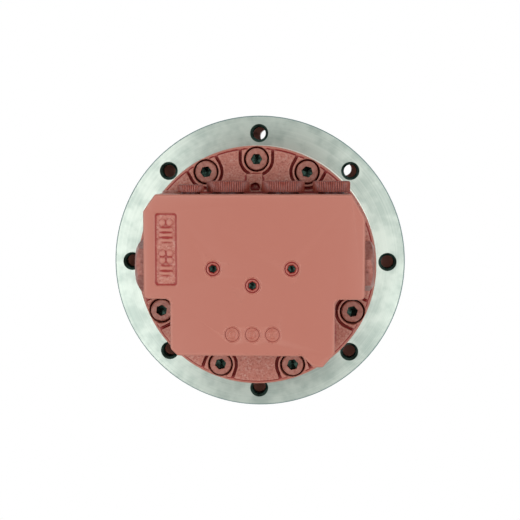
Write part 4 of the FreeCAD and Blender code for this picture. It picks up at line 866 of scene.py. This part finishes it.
# oiled thread, its dark teal colour also painted shade of the holes
threadSteel = plainMetal("oiledThreadSteelShadedDark", "50706A", "2C423C", 0.3, 3.0)
threadPlaces = [turnAbout(2 * math.pi * step / threadLook["count"], threadLook["circle"])
                for step in range(threadLook["count"])]
threads = bpy.data.meshes.new("frameHoleThreads")
bm = placed(holeThread(threadLook), threadPlaces)
bm.to_mesh(threads)
bm.free()
showPiece("frameHoleThreads", threads, [threadSteel], "frame_side")
print("stage: threads")


# room, lamps and camera

roomLook = {
    "floorSize": 6.0,
    "floorDrop": 0.0006,      # keeps the floor clear of the end cover's face
    "lampWidth": 0.55,        # two long lamps left and right, which the turned ring shows as bright sectors
    "lampLength": 1.5,
    "lampAim": (0, 0, 0.16),
    "leftPlace": (-0.62, -0.05, 1.25),
    "leftPower": 9.4,
    "rightPlace": (0.64, -0.02, 1.25),
    "rightPower": 8.8,
    "skyLight": 0.18,
    "lens": 80.0,
    "sensor": 36.0,
    "cameraPlace": (0.0507, 0.0780, 1.160),
    "cameraAim": (0.0007, 0.0013, 0.160),
}


def paleRoom():
    # pale paper floor and wall: plain white to the eye and in reflections, a soft even light on the piece
    material, tree = newMaterial("palePaper")
    seen = [addNode(tree, "LightPath", output=ray) for ray in ("Is Camera Ray", "Is Glossy Ray")]
    paper = addNode(tree, "BsdfDiffuse", inputs={"Color": hexColour("E8E8E8")})
    white = addNode(tree, "Emission", inputs={"Color": hexColour("FFFFFF"), "Strength": 1.0})
    share = addNode(tree, "Math", {"operation": "MAXIMUM"}, seen)
    addNode(tree, "OutputMaterial", inputs={"Surface": addNode(tree, "MixShader", None, [share, paper, white])})
    bm = bmesh.new()
    bmesh.ops.create_grid(bm, x_segments=1, y_segments=1, size=roomLook["floorSize"] / 2)
    bmesh.ops.translate(bm, vec=(0, 0, -roomLook["floorDrop"]), verts=bm.verts)
    mesh = bpy.data.meshes.new("floor")
    bm.to_mesh(mesh)
    bm.free()
    mesh.materials.append(material)
    floor = bpy.data.objects.new("floor", mesh)
    bpy.context.scene.collection.objects.link(floor)

    world = bpy.data.worlds.new("softRoom")
    world.use_nodes = True
    tree = world.node_tree
    tree.nodes.clear()
    seen = [addNode(tree, "LightPath", output=ray) for ray in ("Is Camera Ray", "Is Glossy Ray")]
    share = addNode(tree, "Math", {"operation": "MAXIMUM"}, seen)
    strength = addNode(tree, "MapRange", None, [share, 0.0, 1.0, roomLook["skyLight"], 1.0])
    sky = addNode(tree, "Background", inputs={"Color": hexColour("FFFFFF"), "Strength": strength})
    addNode(tree, "OutputWorld", inputs={"Surface": sky})
    bpy.context.scene.world = world


def facing(place, aim):
    # turns a lamp or the camera, whose -Z looks ahead, to the aim, with +Y of the frame up in the view
    place = Vector(place)
    back = (place - Vector(aim)).normalized()
    right = Vector((0, 1, 0)).cross(back).normalized()
    return Matrix.Translation(place) @ Matrix((right, back.cross(right), back)).transposed().to_4x4()


def softLamp(name, place, power):
    light = bpy.data.lights.new(name, "AREA")
    light.shape = "RECTANGLE"
    light.size = roomLook["lampWidth"]
    light.size_y = roomLook["lampLength"]
    light.energy = power
    lamp = bpy.data.objects.new(name, light)
    lamp.matrix_world = facing(place, roomLook["lampAim"])
    bpy.context.scene.collection.objects.link(lamp)


def setCamera():
    camera = bpy.data.objects.new("camera", bpy.data.cameras.new("camera"))
    camera.data.lens = roomLook["lens"]
    camera.data.sensor_width = roomLook["sensor"]
    camera.matrix_world = facing(roomLook["cameraPlace"], roomLook["cameraAim"])
    bpy.context.scene.collection.objects.link(camera)
    bpy.context.scene.camera = camera


paleRoom()
for side in ("left", "right"):
    softLamp(side + "Lamp", roomLook[side + "Place"], roomLook[side + "Power"])
setCamera()
bpy.context.scene.view_settings.view_transform = "Standard"
print("stage: room, lamps and camera set")
